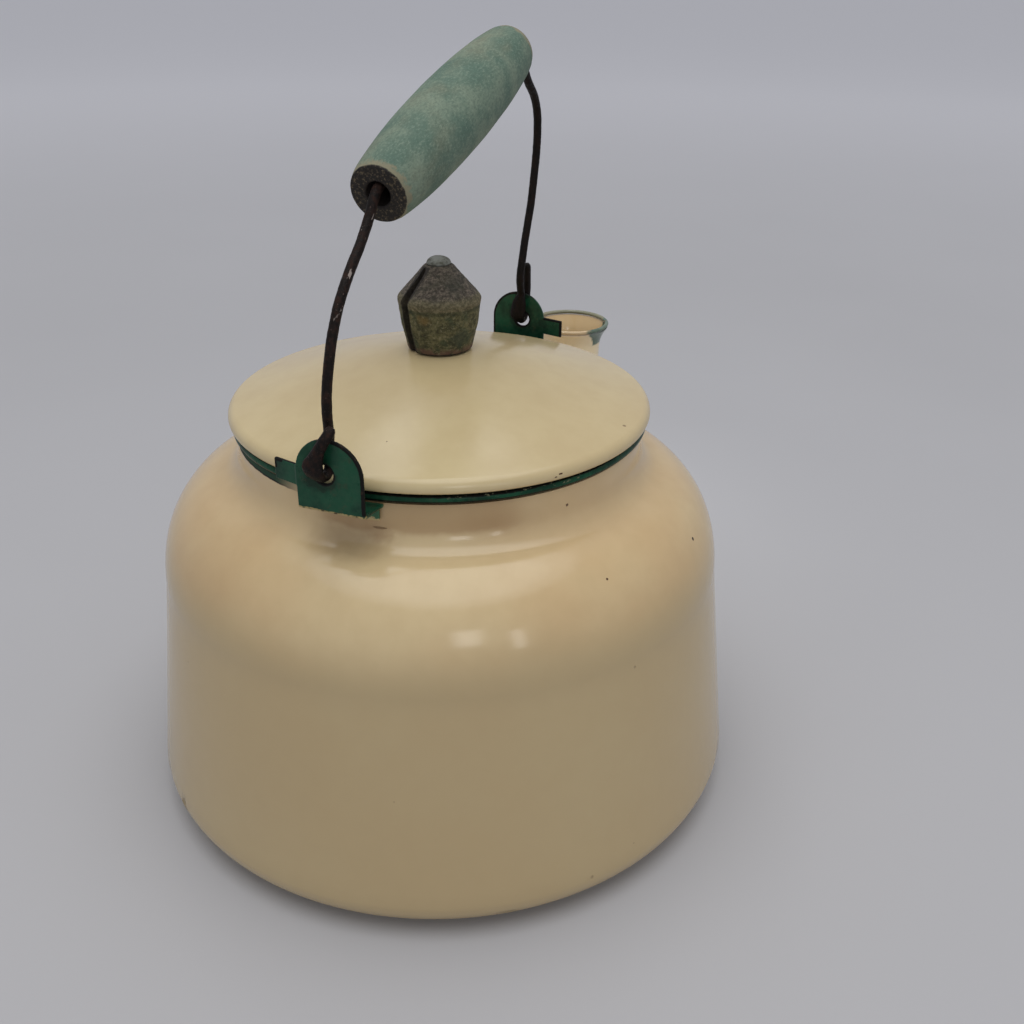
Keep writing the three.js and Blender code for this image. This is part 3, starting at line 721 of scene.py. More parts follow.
def make_wire():
    """The whole wire: an eye, a leg, the length inside the grip, a leg and an eye."""
    rear, rear_flats = eye(
        -1, drop=1.3, stub_skew=-1.3, stub_flat=1, leg_skew=0, leg_flat=0,
        stub=[(1.41, 1.88, 0.1), (1.087, 1.0, 0.1), (0.774, -0.1, 0.15), (0.478, -0.85, 0.55)],
        leg=[(1, 0, 0)],
    )
    front, front_flats = eye(
        1, drop=0.5, stub_skew=0, stub_flat=0, leg_skew=-0.7, leg_flat=0.85,
        stub=[(2.07, 0, 0), (1.087, 0, 0)], leg=[(0.635, -0.53, 0.7), (1, -0.18, 0.35)],
    )
    front, front_flats = front[::-1], front_flats[::-1]
    inset, seat, rear_rise, front_rise = 9, 24, 1.4, 0.5
    arch = catmull([
        rear[-1], *[shared(s) for s in REAR_LEG],
        in_grip(REAR_FACE, 0, rear_rise),
        in_grip(REAR_FACE, inset, (rear_rise + RISE_IN_BORE) / 2),
        in_grip(REAR_FACE, seat, RISE_IN_BORE), in_grip(FRONT_FACE, -seat, RISE_IN_BORE),
        in_grip(FRONT_FACE, -inset, (front_rise + RISE_IN_BORE) / 2),
        in_grip(FRONT_FACE, 0, front_rise),
        *[shared(s) for s in FRONT_LEG], front[0],
    ], 1.2)
    rough_line = np.array([*rear[:-1], *arch, *front[1:]])
    flats = np.array([*rear_flats[:-1], *[0.0] * len(arch), *front_flats[1:]])
    gaps = np.linalg.norm(np.diff(rough_line, axis=0), axis=1)
    at = np.concatenate([[0], np.cumsum(gaps)])
    count = int(at[-1] / 0.8)
    spaced = np.linspace(0, at[-1], count)
    line = np.column_stack([np.interp(spaced, at, rough_line[:, k]) for k in range(3)])
    flat = np.interp(spaced, at, flats)
    half = WIRE_RADIUS + (FLAT_HALF_WIDTH - WIRE_RADIUS) * flat
    sides = 20
    turn = turns(sides)
    cos, sin = WIRE_RADIUS * np.cos(turn), np.sin(turn)
    rows, own = [], []
    ends = {0: 0.55, 1: 0.9, count - 1: 0.55, count - 2: 0.9}
    for k in range(count):
        before, after = line[max(k - 1, 0)], line[min(k + 1, count - 1)]
        along = unit(after - before)
        across = unit(np.cross(PLANE, along))
        aside = np.cross(along, across)
        ring = cos[:, None] * across + half[k] * sin[:, None] * aside
        rows.append(line[k] + ends.get(k, 1.0) * ring)
        own.append(np.column_stack([np.full(sides, spaced[k]), cos, WIRE_RADIUS * sin]))
    points, centre = np.array(rows).reshape(-1, 3), np.repeat(line, sides, 0)
    pits = rough(points, 1.3, 0.14, 9) + rough(points, 5, 0.10, 10)
    points += unit(centre - points) * pits[:, None]
    faces = row_faces(count, sides) + row_caps(count, sides)
    return make_object("bail", points, faces, np.array(own).reshape(-1, 3), sharp=50)


def make_grip():
    """The grip, turned along Z and then laid between its two end faces."""
    length, edge = GRIP_LENGTH, GRIP_END - 1.3
    profile = [(GRIP_BORE + 0.35, 0.0)] + straight((GRIP_BORE + 0.7, 0.0), (edge, 0.0), 5)
    profile += arc((edge, 1.3), (1.1, 1.3), -90, -12, 6)
    for k in range(1, 60):
        share = k / 60
        swell = (1 - (2 * share - 1) ** 2) ** 0.75
        radius = GRIP_END - 0.15 + (GRIP_MID - GRIP_END) * swell
        profile.append((radius, 1.2 + (length - 2.4) * share))
    profile += arc((edge, length - 1.3), (1.1, 1.3), 12, 90, 6)
    profile += straight((GRIP_END - 1.5, length), (GRIP_BORE + 0.35, length), 5)
    profile += [(GRIP_BORE + 0.35, length), (GRIP_BORE, length - 0.5)]
    profile += straight((GRIP_BORE, length - 3), (GRIP_BORE, 3), 12) + [(GRIP_BORE, 0.5)]
    segments = 96
    points = lathe(profile, segments)
    radius, outward = away_from_axis(points)
    dents = rough(points, 11, 0.16, 12) + rough(points * [1, 1, 0.2], 1.6, 0.09, 13)
    near_face, far_face = points[:, 2] < 0.2, points[:, 2] > length - 0.2
    dents = dents * ramp(radius, 5, 8) * ~(near_face | far_face)
    points = points - outward * dents[:, None]
    points[:, 2] += near_face * rough(points, 1.4, 0.35, 14)
    points[:, 2] -= far_face * rough(points, 1.4, 0.35, 15)
    basis = np.array([GRIP_UP, np.cross(GRIP_AXIS, GRIP_UP), GRIP_AXIS])
    return ringed("grip", REAR_FACE + points @ basis, segments, points, sharp=45)


# Materials: spots have their places and sizes in millimetres, all else is in metres

ROUND = (1, 1, 1)


class Shader:
    """A node material painted coat by coat: colour and rough are what it has so far."""

    def __init__(self, name):
        self.material = bpy.data.materials.new(name)
        self.material.use_nodes = True
        self.tree = self.material.node_tree
        self.tree.nodes.clear()
        self.surface = self.node("ShaderNodeBsdfPrincipled")
        output = self.node("ShaderNodeOutputMaterial")
        self.feed(output.inputs[0], self.surface.outputs[0])
        self.where = self.node("ShaderNodeTexCoord").outputs["Object"]

    def node(self, kind, **settings):
        made = self.tree.nodes.new(kind)
        for key, value in settings.items():
            setattr(made, key, value)
        return made

    def feed(self, target, value):
        if isinstance(value, bpy.types.NodeSocket):
            self.tree.links.new(value, target)
        elif value is not None:
            target.default_value = value

    def fed(self, kind, inputs, output=0, **settings):
        """One output of a new node with these inputs."""
        made = self.node(kind, **settings)
        for key, value in inputs.items():
            self.feed(made.inputs[key], value)
        return made.outputs[output]

    def attribute(self, name, output="Fac"):
        return self.node("ShaderNodeAttribute", attribute_name=name).outputs[output]

    def local(self):
        return self.attribute("local", "Vector")

    def vector(self, operation, a, b=None, output=0):
        return self.fed("ShaderNodeVectorMath", {0: a, 1: b}, output, operation=operation)

    def scaled(self, vector, by):
        return self.vector("MULTIPLY", vector, by)

    def length(self, vector):
        return self.vector("LENGTH", vector, output="Value")

    def split(self, vector):
        made = self.node("ShaderNodeSeparateXYZ")
        self.feed(made.inputs[0], vector)
        return made.outputs

    def noise(self, scale, detail=3, roughness=0.55, vector=None):
        inputs = {"Vector": vector or self.where, "Scale": scale, "Detail": detail}
        return self.fed("ShaderNodeTexNoise", {**inputs, "Roughness": roughness}, "Fac")

    def math(self, operation, a, b=None, c=None):
        return self.fed("ShaderNodeMath", {0: a, 1: b, 2: c}, operation=operation)

    def mul(self, a, b):
        return self.math("MULTIPLY", a, b)

    def add(self, a, b):
        return self.math("ADD", a, b)

    def sub(self, a, b):
        return self.math("SUBTRACT", a, b)

    def max(self, a, b):
        return self.math("MAXIMUM", a, b)

    def step(self, value, low, high):
        """0 below low, 1 above high, smooth between; low may be above high."""
        inputs = {"Value": value, "From Min": low, "From Max": high}
        return self.fed("ShaderNodeMapRange", inputs, "Result", interpolation_type="SMOOTHSTEP")

    def lerp(self, value, low, high):
        """The value's 0..1 moved to low..high."""
        inputs = {"Value": value, "To Min": low, "To Max": high}
        return self.fed("ShaderNodeMapRange", inputs, "Result")

    def patches(self, scale, detail, low, high, roughness=0.55, vector=None):
        return self.step(self.noise(scale, detail, roughness, vector), low, high)

    def waver(self, scale, detail, low, high, roughness=0.55, vector=None):
        return self.lerp(self.noise(scale, detail, roughness, vector), low, high)

    def mix(self, factor, a, b):
        """From colour a to colour b, each a socket or sRGB values in 0..255."""
        a, b = (linear(c) if isinstance(c, tuple) else c for c in (a, b))
        inputs = {"Factor": factor, "A": a, "B": b}
        return self.fed("ShaderNodeMix", inputs, "Result", data_type="RGBA")

    def cover(self, mask, over):
        """Lays a colour on the colour so far."""
        self.colour = self.mix(mask, self.colour, over)

    def coat(self, mask, strength, over):
        self.cover(self.mul(mask, strength), over)

    def dull(self, mask, rough):
        """Makes the surface at least this rough where the mask is 1."""
        self.rough = self.max(self.rough, self.mul(mask, rough))

    def near(self, point, size, ragged=0.35, stretch=ROUND, core=0.8):
        """1 within about size millimetres of a point, with a ragged edge; a small core is soft."""
        shifted = self.vector("SUBTRACT", self.where, [c * MM for c in point])
        length = self.length(self.scaled(shifted, [1 / s for s in stretch]))
        edge = self.noise(1500 / size, 2)
        distance = self.math("MULTIPLY_ADD", edge, ragged * size * MM * 2, length)
        return self.step(distance, size * MM * (1 + ragged), size * MM * (core + ragged))

    def bump(self, height, depth):
        """Relief from height, depth millimetres deep."""
        inputs = {"Height": height, "Strength": 1.0, "Distance": depth * MM}
        self.feed(self.surface.inputs["Normal"], self.fed("ShaderNodeBump", inputs))

    def finish(self, metallic=None, specular=0.5):
        self.surface.inputs["Specular IOR Level"].default_value = specular
        self.feed(self.surface.inputs["Base Color"], self.colour)
        self.feed(self.surface.inputs["Roughness"], self.rough)
        self.feed(self.surface.inputs["Metallic"], metallic)
        return self.material


def linear(colour):
    """An sRGB colour in 0..255 as a linear one."""
    shares = [v / 255 for v in colour]
    return (*[v / 12.92 if v <= 0.04045 else ((v + 0.055) / 1.055) ** 2.4 for v in shares], 1.0)


CREAM, CREAM_DARK = (210, 188, 145), (202, 174, 130)
IRON = (34, 25, 22)
RUST = (96, 56, 36)
# Near black: painted shade on the rim's top and underside, with some bare iron there, and the dark
# line at the foot of the green on the neck
LINE_BLACK = (12, 13, 11)


def enamel(name, light, dark, chips=(), specks=True, zones=(), stains=(), gloss=(0.1, 0.18)):
    """Glossy enamel: slow mottling, pin holes, stains, chips down to the iron and other zones; some
    of the body's stains and zones are painted light or shade.
    """
    sh = Shader(name)
    sh.colour = sh.mix(sh.patches(11, 3, 0.36, 0.66), dark, light)
    fine = sh.patches(140, 2, 0.3, 0.75)
    sh.cover(sh.lerp(fine, 0.0, 0.1), (170, 142, 100))
    for point, size, strength, stretch in stains:
        soft = sh.near(point, size, 0.5, stretch, 0.1)
        sh.coat(soft, strength, (138, 98, 54))
    height = sh.waver(90, 2, 0.0, 0.35, 0.4)
    if specks:
        cells = sh.node("ShaderNodeTexVoronoi")
        sh.feed(cells.inputs["Vector"], sh.where)
        cells.inputs["Scale"].default_value = 58
        pick, reach = sh.split(cells.outputs["Color"])[:2]
        at_hole = sh.math("LESS_THAN", cells.outputs["Distance"], sh.lerp(reach, 0.012, 0.042))
        hole = sh.mul(at_hole, sh.step(pick, 0.6, 0.62))
        sh.coat(hole, 0.75, (92, 62, 38))
        height = sh.sub(height, hole)
    sh.rough = sh.waver(24, 3, *gloss)
    for point, size, stretch in chips:
        bare = sh.near(point, size, 0.35, stretch)
        if size > 0.9:
            halo = sh.near(point, size * 1.35, 0.45, stretch)
            sh.coat(halo, 0.6, RUST)
        sh.cover(bare, IRON if size > 0.6 else (78, 46, 24))
        sh.dull(bare, 0.7)
        height = sh.sub(height, sh.mul(bare, 2.0))
    for zone in zones:
        over, mask, matt = zone(sh)
        sh.cover(mask, over)
        if matt:
            sh.dull(mask, 0.8)
    sh.bump(height, 0.12)
    return sh.finish()


# Zones of the enamel: each gives its colour, its mask and whether it is matt

def wall_shade_zone(sh):
    """Painted shade: the side is painted a little duller than the shoulder."""
    height = sh.add(sh.split(sh.where)[2], sh.waver(12, 3, -0.01, 0.01))
    return (186, 166, 126), sh.mul(sh.step(height, 0.112, 0.094), 0.75), False


def neck_light_and_shade_zone(sh):
    """Painted light and shade: paler round the neck to lift the lid's shadow there, and brown below
    the near ear, partly a stain and partly painted shade.
    """
    x, y, z = sh.split(sh.where)
    height = sh.add(z, sh.waver(60, 3, -0.003, 0.003))
    pale = sh.mul(sh.step(height, 0.123, 0.129), sh.waver(30, 3, 0.0, 0.3))
    brown = sh.mul(sh.step(y, -0.064, -0.044), sh.step(y, 0.022, 0.004))
    brown = sh.mul(brown, sh.step(x, -0.03, -0.05))
    brown = sh.mul(brown, sh.step(height, 0.131, 0.135))
    colour = sh.mix(brown, (232, 212, 172), (164, 132, 92))
    return colour, sh.max(pale, sh.mul(brown, 0.6)), False


def green_neck_zone(sh):
    """Green paint that runs from the rim onto the neck on one side."""
    x, y, z = sh.split(sh.where)
    level = sh.add(z, sh.waver(400, 3, -0.0004, 0.0004))
    left = sh.mul(sh.step(y, 0.012, 0.03), sh.step(x, 0.03, 0.0))
    colour = sh.mix(sh.step(level, 0.142, 0.1417), (18, 60, 41), LINE_BLACK)
    return colour, sh.mul(sh.step(level, 0.1411, 0.1413), left), True


def painted_light_mouth_zone(sh):
    """Painted light: the spout's outside is paler towards its mouth, as if more lit there."""
    outside = sh.step(sh.split(sh.local())[0], 0.0004, 0.0006)
    rise = sh.step(sh.split(sh.where)[2], 0.085, 0.118)
    return (244, 224, 184), sh.mul(rise, outside), False


def green_mouth_zone(sh):
    """The green that runs over one side of the spout's mouth."""
    y, z = sh.split(sh.where)[1:3]
    ragged = sh.waver(160, 3, -0.0016, 0.0016)
    side = sh.step(sh.add(y, ragged), -0.0132, -0.0142)
    high = sh.step(sh.add(z, ragged), 0.1268, 0.1278)
    colour = sh.mix(sh.patches(90, 3, 0.3, 0.7), (72, 96, 80), (104, 122, 104))
    return colour, sh.mul(side, high), False


def green_paint(sh):
    sh.colour = sh.mix(sh.patches(70, 3, 0.35, 0.65), (12, 46, 33), (24, 76, 53))
    sh.coat(sh.patches(230, 4, 0.56, 0.68, 0.65), 0.4, (62, 62, 44))
    sh.cover(sh.lerp(sh.patches(600, 2, 0.35, 0.7), 0.0, 0.2), (56, 88, 66))


def rim_enamel(name):
    """The rolled rim: green round its side, black above and below as painted shade, the lid's
    shadow on top and the gap's shade underneath with some bare iron, and with worn spots.
    """
    sh = Shader(name)
    z = sh.split(sh.where)[2]
    level = sh.add(z, sh.waver(26, 2, -0.0007, 0.0007))
    level = sh.add(level, sh.waver(420, 3, -0.00025, 0.00025))
    # Painted shade: black on the bead's top under the lid's edge and on its underside
    black = sh.max(sh.step(level, 0.14695, 0.14725), sh.step(z, 0.14575, 0.14545))
    green_paint(sh)
    sh.cover(black, LINE_BLACK)
    at_top = sh.mul(sh.step(z, 0.1462, 0.1466), sh.step(z, 0.1475, 0.1472))
    side = sh.mul(sh.near((-52, -52, 146.6), 28, 0.3), at_top)
    worn = sh.patches(300, 4, 0.57, 0.62, 0.7, sh.scaled(sh.where, (1, 1, 2.5)))
    worn = sh.max(sh.mul(worn, side), sh.patches(170, 4, 0.68, 0.74, 0.7))
    sh.coat(worn, 0.8, (122, 124, 98))
    sh.rough = sh.waver(200, 3, 0.18, 0.4)
    sh.dull(worn, 0.6)
    sh.bump(sh.sub(sh.noise(500), worn), 0.1)
    return sh.finish(specular=0.12)


def lip_enamel(name):
    """The spout's lip: cream where it is worn, green on the far edge and at one side."""
    sh = Shader(name)
    x, y = sh.split(sh.where)[:2]
    ragged = sh.waver(220, 3, -0.0016, 0.0016)
    far = sh.step(sh.add(sh.sub(x, SPOUT_END[0] * MM), ragged), -0.004, 0.003)
    side = sh.step(sh.add(y, ragged), -0.012, -0.0145)
    paint = sh.mix(sh.patches(90, 3, 0.3, 0.7), (76, 98, 84), (108, 122, 106))
    sh.colour = sh.mix(sh.max(sh.mul(far, 0.75), side), (196, 172, 134), paint)
    rust = sh.patches(420, 4, 0.6, 0.68, 0.6)
    sh.coat(rust, 0.5, (124, 96, 66))
    sh.rough = sh.lerp(rust, 0.24, 0.6)
    sh.bump(sh.noise(500), 0.08)
    return sh.finish()


def ear_enamel(name, stains):
    """Dark green enamel on the ears, black at the sheet's edges, pale where the foot is chipped."""
    sh = Shader(name)
    green_paint(sh)
    sh.rough = sh.waver(200, 3, 0.2, 0.42)
    for point, size, strength in stains:
        stain = sh.near(point, size, 0.5)
        sh.coat(stain, strength, (20, 16, 11))
        sh.dull(stain, 0.55)
    tab = sh.attribute("tab")
    sh.coat(tab, 0.85, (62, 104, 76))
    broken = sh.add(sh.split(sh.where)[2], sh.waver(330, 4, -0.0032, 0.0032, 0.65))
    lost = sh.mul(sh.step(broken, 0.139, 0.1383), tab)
    sh.cover(lost, (184, 166, 122))
    foot = sh.add(sh.attribute("foot"), sh.waver(700, 3, -0.5, 0.5))
    chipped = sh.mix(sh.patches(420, 3, 0.5, 0.66), (170, 152, 104), (60, 50, 32))
    sh.cover(sh.step(foot, 0.8, 1.0), chipped)
    bare = sh.add(sh.attribute("cut"), sh.waver(900, 3, -0.3, 0.3))
    bare = sh.step(bare, 0.45, 0.65)
    edge = sh.mix(sh.patches(500, 3, 0.58, 0.7), (9, 9, 7), (44, 31, 22))
    sh.cover(bare, edge)
    sh.dull(bare, 0.7)
    sh.bump(sh.noise(500), 0.08)
    return sh.finish(specular=0.22)


def wire_iron(name):
    """Rusty dark iron with flakes; the far leg is the darker one; pale streaks on the near leg
    below the grip are a painted highlight.
    """
    sh = Shader(name)
    x, _, z = sh.split(sh.where)
    rusty = sh.patches(420, 4, 0.42, 0.68, 0.6)
    sh.colour = sh.mix(rusty, (22, 17, 15), (46, 30, 24))
    far = sh.step(x, -0.02, 0.06)
    sh.coat(far, 0.65, (13, 10, 9))
    flake = sh.patches(1300, 3, 0.62, 0.74, 0.6)
    sh.coat(flake, sh.lerp(far, 0.5, 0.12), (108, 88, 80))
    # Painted highlight: pale streaks along the near leg below the grip
    wire_glint = sh.patches(620, 3, 0.64, 0.68, 0.6, sh.scaled(sh.local(), (0.4, 1, 1)))
    glint_at_bend = sh.mul(sh.step(z, 0.196, 0.212), sh.step(z, 0.236, 0.226))
    glint_at_bend = sh.mul(sh.mul(glint_at_bend, sh.sub(1.0, far)), 0.75)
    sh.coat(wire_glint, glint_at_bend, (168, 156, 148))
    sh.bump(sh.add(sh.noise(900, 4, 0.65), sh.mul(flake, 0.6)), 0.22)
    sh.rough = sh.lerp(rusty, 0.48, 0.85)
    return sh.finish(sh.lerp(rusty, 0.35, 0.05), 0.2)


def dull_steel(name, light, dark, metal):
    sh = Shader(name)
    stain = sh.patches(500, 4, 0.4, 0.65, 0.65)
    sh.colour = sh.mix(stain, light, dark)
    sh.rough = sh.lerp(stain, 0.5, 0.75)
    sh.bump(sh.noise(1400), 0.08)
    return sh.finish(sh.lerp(stain, metal, metal / 3))


def grip_wood(name):
    """Worn grey-green paint over turned wood; bare dark end grain; painted shade inside the bore.
    """
    sh = Shader(name)
    place = sh.local()
    along = sh.split(place)[2]
    drawn = sh.scaled(place, (1, 1, 0.6))
    grain = sh.noise(1300, 4, 0.7, drawn)
    patch = sh.patches(70, 3, 0.35, 0.68, 0.5, place)
    sh.colour = sh.mix(patch, (76, 102, 88), (110, 126, 108))
    tan = sh.patches(48, 3, 0.48, 0.7, 0.6, drawn)
    sh.coat(tan, 0.55, (118, 116, 94))
    sh.coat(sh.step(grain, 0.5, 0.66), 0.36, (138, 152, 134))
    sh.coat(sh.step(grain, 0.5, 0.36), 0.42, (64, 82, 70))
    frayed = sh.waver(300, 4, -0.0046, 0.0046, 0.75, place)
    from_end = sh.math("MINIMUM", along, sh.sub(GRIP_LENGTH * MM, along))
    ring = sh.step(sh.add(from_end, frayed), 0.0034, 0.0016)
    sh.coat(ring, 0.75, (134, 124, 98))
    end = sh.step(sh.add(from_end, sh.mul(frayed, 0.12)), 0.0009, 0.0005)
    rings = sh.noise(900, 4, 0.7, sh.scaled(place, (1, 1, 0.2)))
    bare = sh.mix(sh.step(rings, 0.5, 0.66), (22, 17, 12), (96, 84, 64))
    sh.cover(end, bare)
    # Painted shade: the bore's wall is near black
    bore_shade = sh.step(sh.length(sh.scaled(place, (1, 1, 0))), 0.0048, 0.0042)
    sh.cover(bore_shade, (24, 16, 12))
    sh.bump(sh.add(grain, sh.mul(end, rings)), 0.16)
    sh.rough = sh.lerp(grain, 0.62, 0.88)
    return sh.finish()


def knob_wood(name):
    """Weathered turned wood with the last of its green paint; painted shade in the split, where it
    sits on the lid and on one side of the cone's top.
    """
    sh = Shader(name)
    place = sh.local()
    x, y, z = sh.split(place)
    streak = sh.noise(1000, 4, 0.7, sh.scaled(place, (0.8, 0.8, 1.0)))
    blotch = sh.noise(240, 5, 0.75, place)
    sh.colour = sh.mix(sh.step(blotch, 0.36, 0.64), (56, 56, 28), (102, 98, 64))
    sh.coat(sh.step(streak, 0.52, 0.66), 0.45, (150, 142, 112))
    sh.coat(sh.step(streak, 0.5, 0.34), 0.6, (38, 34, 22))
    green = sh.patches(150, 4, 0.52, 0.62, 0.65, place)
    sh.coat(green, 0.5, (44, 62, 40))
    dark = sh.near((-7.2, -10.8, KNOB_SEAT + 6.5), 4.2, 0.45, (1, 1, 1.1), 0.4)
    sh.coat(dark, 0.7, (40, 52, 38))
    ochre = sh.near((-13.4, -0.2, KNOB_SEAT + 13.6), 4.0, 0.5, (1, 1, 0.6), 0.2)
    sh.coat(ochre, 0.5, (124, 98, 50))
    band = sh.mul(sh.step(z, 0.0162, 0.0172), sh.step(z, 0.0215, 0.0195))
    khaki = sh.mix(sh.step(streak, 0.42, 0.62), (84, 76, 54), (118, 108, 82))
    sh.coat(band, 0.75, khaki)
    cone = sh.step(sh.add(z, sh.lerp(blotch, -0.002, 0.002)), 0.0192, 0.0212)
    grey = sh.mix(sh.step(streak, 0.4, 0.64), (56, 48, 42), (112, 100, 88))
    grey = sh.mix(sh.mul(sh.step(blotch, 0.48, 0.6), 0.6), grey, (40, 40, 34))
    shade = sh.near((-5.5, -8.5, KNOB_SEAT + 25.5), 6.0, 0.4, ROUND, 0.3)
    grey = sh.mix(sh.mul(shade, 0.6), grey, (40, 42, 36))
    sh.coat(cone, 0.85, grey)
    level = sh.add(z, sh.lerp(streak, -0.0004, 0.0004))
    off_line = sh.math("ABSOLUTE", sh.sub(level, 0.016))
    line = sh.sub(1.0, sh.step(off_line, 0.0002, 0.001))
    sh.coat(line, sh.lerp(green, 0.45, 0.85), (30, 38, 16))
    foot = sh.add(z, sh.waver(300, 3, -0.0015, 0.0015, 0.6, place))
    foot = sh.mul(sh.step(foot, 0.0034, 0.0016), sh.patches(220, 3, 0.36, 0.52, 0.6, place))
    sh.coat(foot, 0.6, (104, 68, 58))
    # Painted shade where the knob sits on the lid
    sh.cover(sh.step(z, 0.0009, 0.0004), (22, 16, 12))
    # Painted shade inside the split
    split_shade = sh.step(sh.math("ABSOLUTE", y), 0.0026, 0.002)
    split_shade = sh.mul(split_shade, sh.step(x, 0.0045, 0.0055))
    sh.coat(split_shade, 0.8, (24, 17, 12))
    sh.bump(sh.add(streak, sh.noise(2600, 2, 0.6, place)), 0.25)
    sh.rough = sh.lerp(streak, 0.9, 0.68)
    return sh.finish()


# Spots: a place and a size in millimetres, a strength if they are stains, and a stretch
BODY_CHIPS = [
    ((-93.4, 65.2, 10.8), 3.0, (1, 1, 1.7)), ((-92.9, -63.5, 7.5), 1.8, (2, 2, 0.7)),
    ((-39.6, -62.5, 137.1), 0.55, ROUND), ((-4.3, -98.3, 114.1), 0.7, ROUND),
    ((-50.2, -80.2, 118.8), 0.45, ROUND), ((-51.5, -91.7, 88.5), 0.5, ROUND),
    ((-73.6, -87.3, 14.2), 0.6, ROUND), ((-73.0, -11.2, 134.9), 0.8, (1, 3.2, 0.55)),
    ((-74.2, 8.6, 136.0), 0.6, (1, 2, 0.7)),
]
# Brown stains; those round the neck under the rim and below the near ear are partly painted shade
BODY_STAINS_AND_SHADE = [
    ((-74, -2, 131), 14, 0.45, (1, 1.5, 0.6)), ((-60, -45, 136), 20, 0.22, (1, 1, 0.4)),
    ((-74, -11, 133), 5, 0.5, (1, 1.4, 0.7)), ((-78, 48, 112), 42, 0.12, ROUND),
]
LID_CHIPS = [((-45.1, -61.7, 150.6), 0.4, (2, 2, 0.7)), ((-46.6, -60.6, 149.9), 0.3, (2, 2, 0.8))]
EAR_STAINS = [
    ((-86, 1.5, 156.4), 6.0, 0.45), ((84.5, 0.5, 158.5), 6.0, 0.35), ((85, 0, 168), 3.5, 0.5),
    ((85, -10, 156), 2.5, 0.3),
]


def placed(obj, body, material, slot, *nodes):
    """Gives a piece its material and its body, and hides the nodes that it replaces; slot is not
    used.
    """
    obj.data.materials.clear()
    obj.data.materials.append(material)
    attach(obj, body)
    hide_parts(*nodes)


cream_body = enamel(
    "body_enamel", CREAM, CREAM_DARK, BODY_CHIPS,
    zones=(wall_shade_zone, neck_light_and_shade_zone, green_neck_zone), stains=BODY_STAINS_AND_SHADE,
)
cream_lid = enamel(
    "lid_enamel", (206, 188, 145), (198, 178, 136), LID_CHIPS, gloss=(0.16, 0.25),
)
cream_spout = enamel("spout_enamel", CREAM, CREAM_DARK, zones=(painted_light_mouth_zone, green_mouth_zone))
cream_ring = enamel("ring_enamel", CREAM, CREAM_DARK, specks=False)
green_ear = ear_enamel("ear_enamel", EAR_STAINS)
steel = dull_steel("dull_steel", (150, 146, 138), (92, 76, 62), 0.75)
cap_steel = dull_steel("cap_steel", (122, 124, 116), (84, 84, 72), 0.15)

placed(make_body(), "kettle", cream_body, "body_enamel", "body_shell")
placed(make_bead(), "kettle", rim_enamel("rim_enamel"), "rim_enamel", "rim_bead")
placed(make_spout(), "kettle", cream_spout, "spout_enamel", "spout_tube")
placed(make_lip(), "kettle", lip_enamel("lip_enamel"), "lip_enamel", "spout_lip")
placed(make_ear("ear_far", "ear_front"), "kettle", green_ear, "ear_enamel", "ear_front")
placed(make_ear("ear_near", "ear_rear"), "kettle", green_ear, "ear_enamel", "ear_rear")
placed(make_lid(), "lid", cream_lid, "lid_enamel", "lid_shell")
placed(make_flange(), "lid", cream_ring, "flange_enamel", "lid_flange")
placed(make_knob(), "lid", knob_wood("knob_wood"), "knob_wood", "lid_knob")
placed(make_bolt(), "lid", cap_steel, "bolt_metal", "knob_bolt")
placed(make_washer(), "lid", steel, "washer_metal", "knob_washer")
placed(make_nut(), "lid", steel, "nut_metal", "knob_nut")
placed(make_wire(), "bail", wire_iron("wire_iron"), "wire_iron", "bail_wire")
placed(make_grip(), "grip", grip_wood("grip_wood"), "grip_wood", "bail_grip")


# Floor, world, lamps and camera, in metres but for the floor's small drop in millimetres

FLOOR_REACH = 14
FLOOR_DROP = 0.05


def make_floor():
    """A wide plain disc, a little darker under the kettle and paler far off as painted light
    against the lamps' fall-off, and darker off to one side as painted shade.
    """
    segments = 96
    radii = [0.0, *np.geomspace(0.12, FLOOR_REACH, 24)]
    points = lathe([(radius / MM, -FLOOR_DROP) for radius in radii], segments)
    floor = make_object("floor", points, row_faces(len(radii), segments), smooth=False)
    sh = Shader("floor")
    sh.colour = sh.mix(sh.noise(3), (178, 178, 181), (185, 185, 188))
    # Painted light: paler far off, where less lamp light falls
    sh.cover(sh.step(sh.length(sh.where), 0.4, 2.6), (240, 240, 244))
    # Painted shade towards one side
    sh.coat(sh.step(sh.split(sh.where)[1], -0.25, -1.6), 0.22, (120, 120, 120))
    sh.rough = 0.85
    floor.data.materials.append(sh.finish())


def aim(obj, place, turn):
    obj.location, obj.rotation_mode, obj.rotation_quaternion = place, "QUATERNION", turn


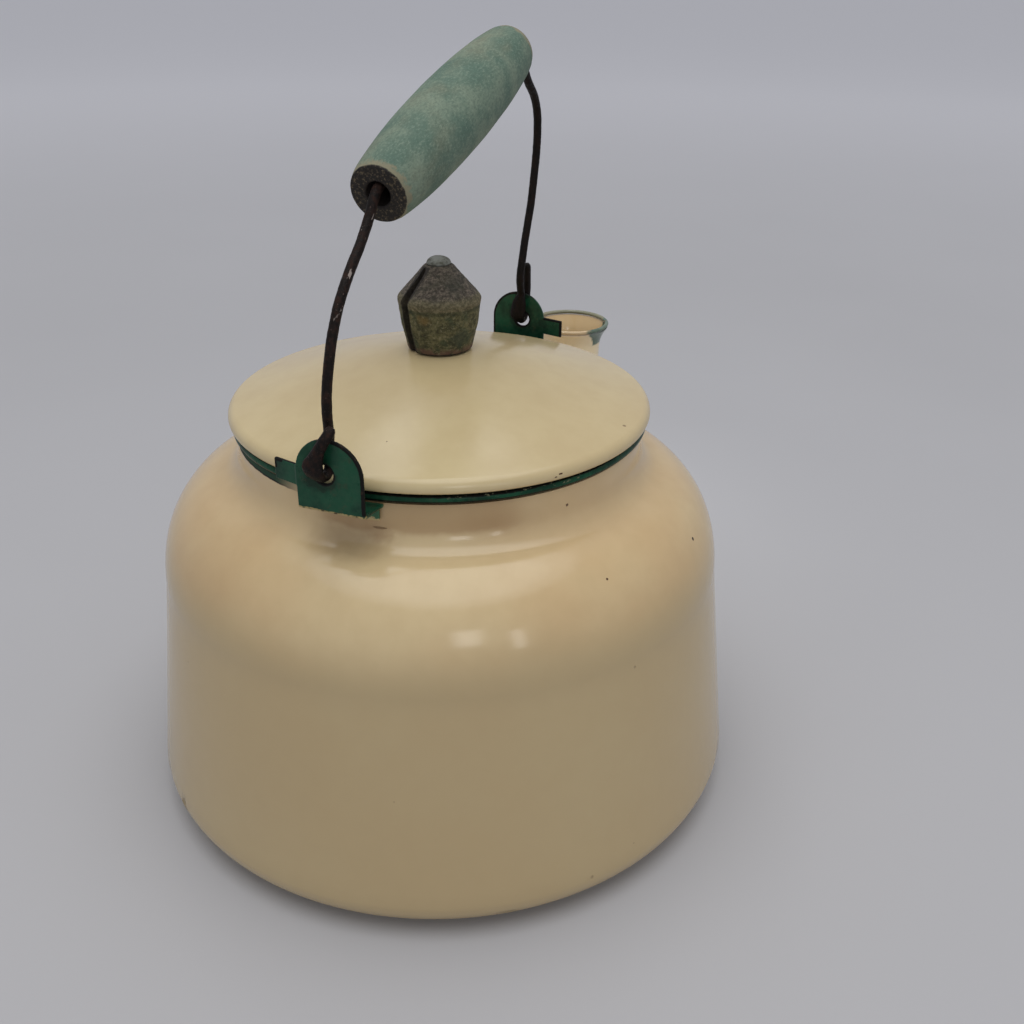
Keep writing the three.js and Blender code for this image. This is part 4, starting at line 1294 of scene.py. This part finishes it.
def lamp(name, place, target, size, power, colour, shape="RECTANGLE"):
    """An area lamp of a size in metres and a power in watts, aimed at a target."""
    light = bpy.data.lights.new(name, "AREA")
    light.shape, light.size, light.size_y = shape, *size
    light.energy, light.color = power, colour
    turn = (Vector(target) - Vector(place)).to_track_quat("-Z", "Y")
    aim(add_object(name, light), place, turn)


make_floor()
world = bpy.data.worlds.new("studio")
world.use_nodes = True
background = world.node_tree.nodes["Background"]
background.inputs["Color"].default_value = (0.40, 0.405, 0.43, 1)
background.inputs["Strength"].default_value = 1.09
bpy.context.scene.world = world
WARM, WARMER = (1.0, 0.99, 0.97), (1.0, 0.98, 0.95)
ABOVE = (-0.15, -0.06, 0)
lamp("overhead", (-0.15, -0.06, 1.6), ABOVE, (2.0, 2.0), 9.6, WARM, "ELLIPSE")
lamp("overhead_core", (-0.15, -0.06, 1.59), ABOVE, (1.5, 1.5), 4.8, WARM, "ELLIPSE")
lamp("window", (-1.02, -0.66, 0.56), (-0.088, -0.048, 0.111), (0.22, 0.33), 0.75, WARMER)
lamp("window_side", (-0.78, -0.98, 0.43), (-0.079, -0.062, 0.109), (0.08, 0.36), 0.35, WARMER)
lamp("back_left", (0.518, 0.466, 1.223), (-0.057, -0.009, 0.158), (0.20, 0.14), 0.22, WARM)
lamp("back_right", (0.681, 0.067, 1.228), (-0.047, -0.040, 0.157), (0.20, 0.07), 0.12, WARM)
spot = bpy.data.lights.new("spout_spot", "SPOT")
spot.energy, spot.spot_size, spot.spot_blend, spot.shadow_soft_size = 11, math.radians(10), 1.0, 0.1
down_spout = Vector((0.45, -0.016, -0.81)).to_track_quat("-Z", "Y")
aim(add_object("spout_spot", spot), (-0.32, 0.02, 0.95), down_spout)
bpy.context.scene.view_settings.view_transform = "Standard"

# The photo's view: its width of 1024 pixels at a focal length of 1100
camera = bpy.data.cameras.new("camera")
camera.sensor_width = 36
camera.lens = 36 * 1100 / 1024
camera.clip_start, camera.clip_end = 0.01, 60
photo_view = Quaternion((0.70453116, 0.42695166, -0.2998997, -0.48104916))
bpy.context.scene.camera = add_object("camera", camera)
aim(bpy.context.scene.camera, (-0.346073, -0.158444, 0.298323), photo_view)
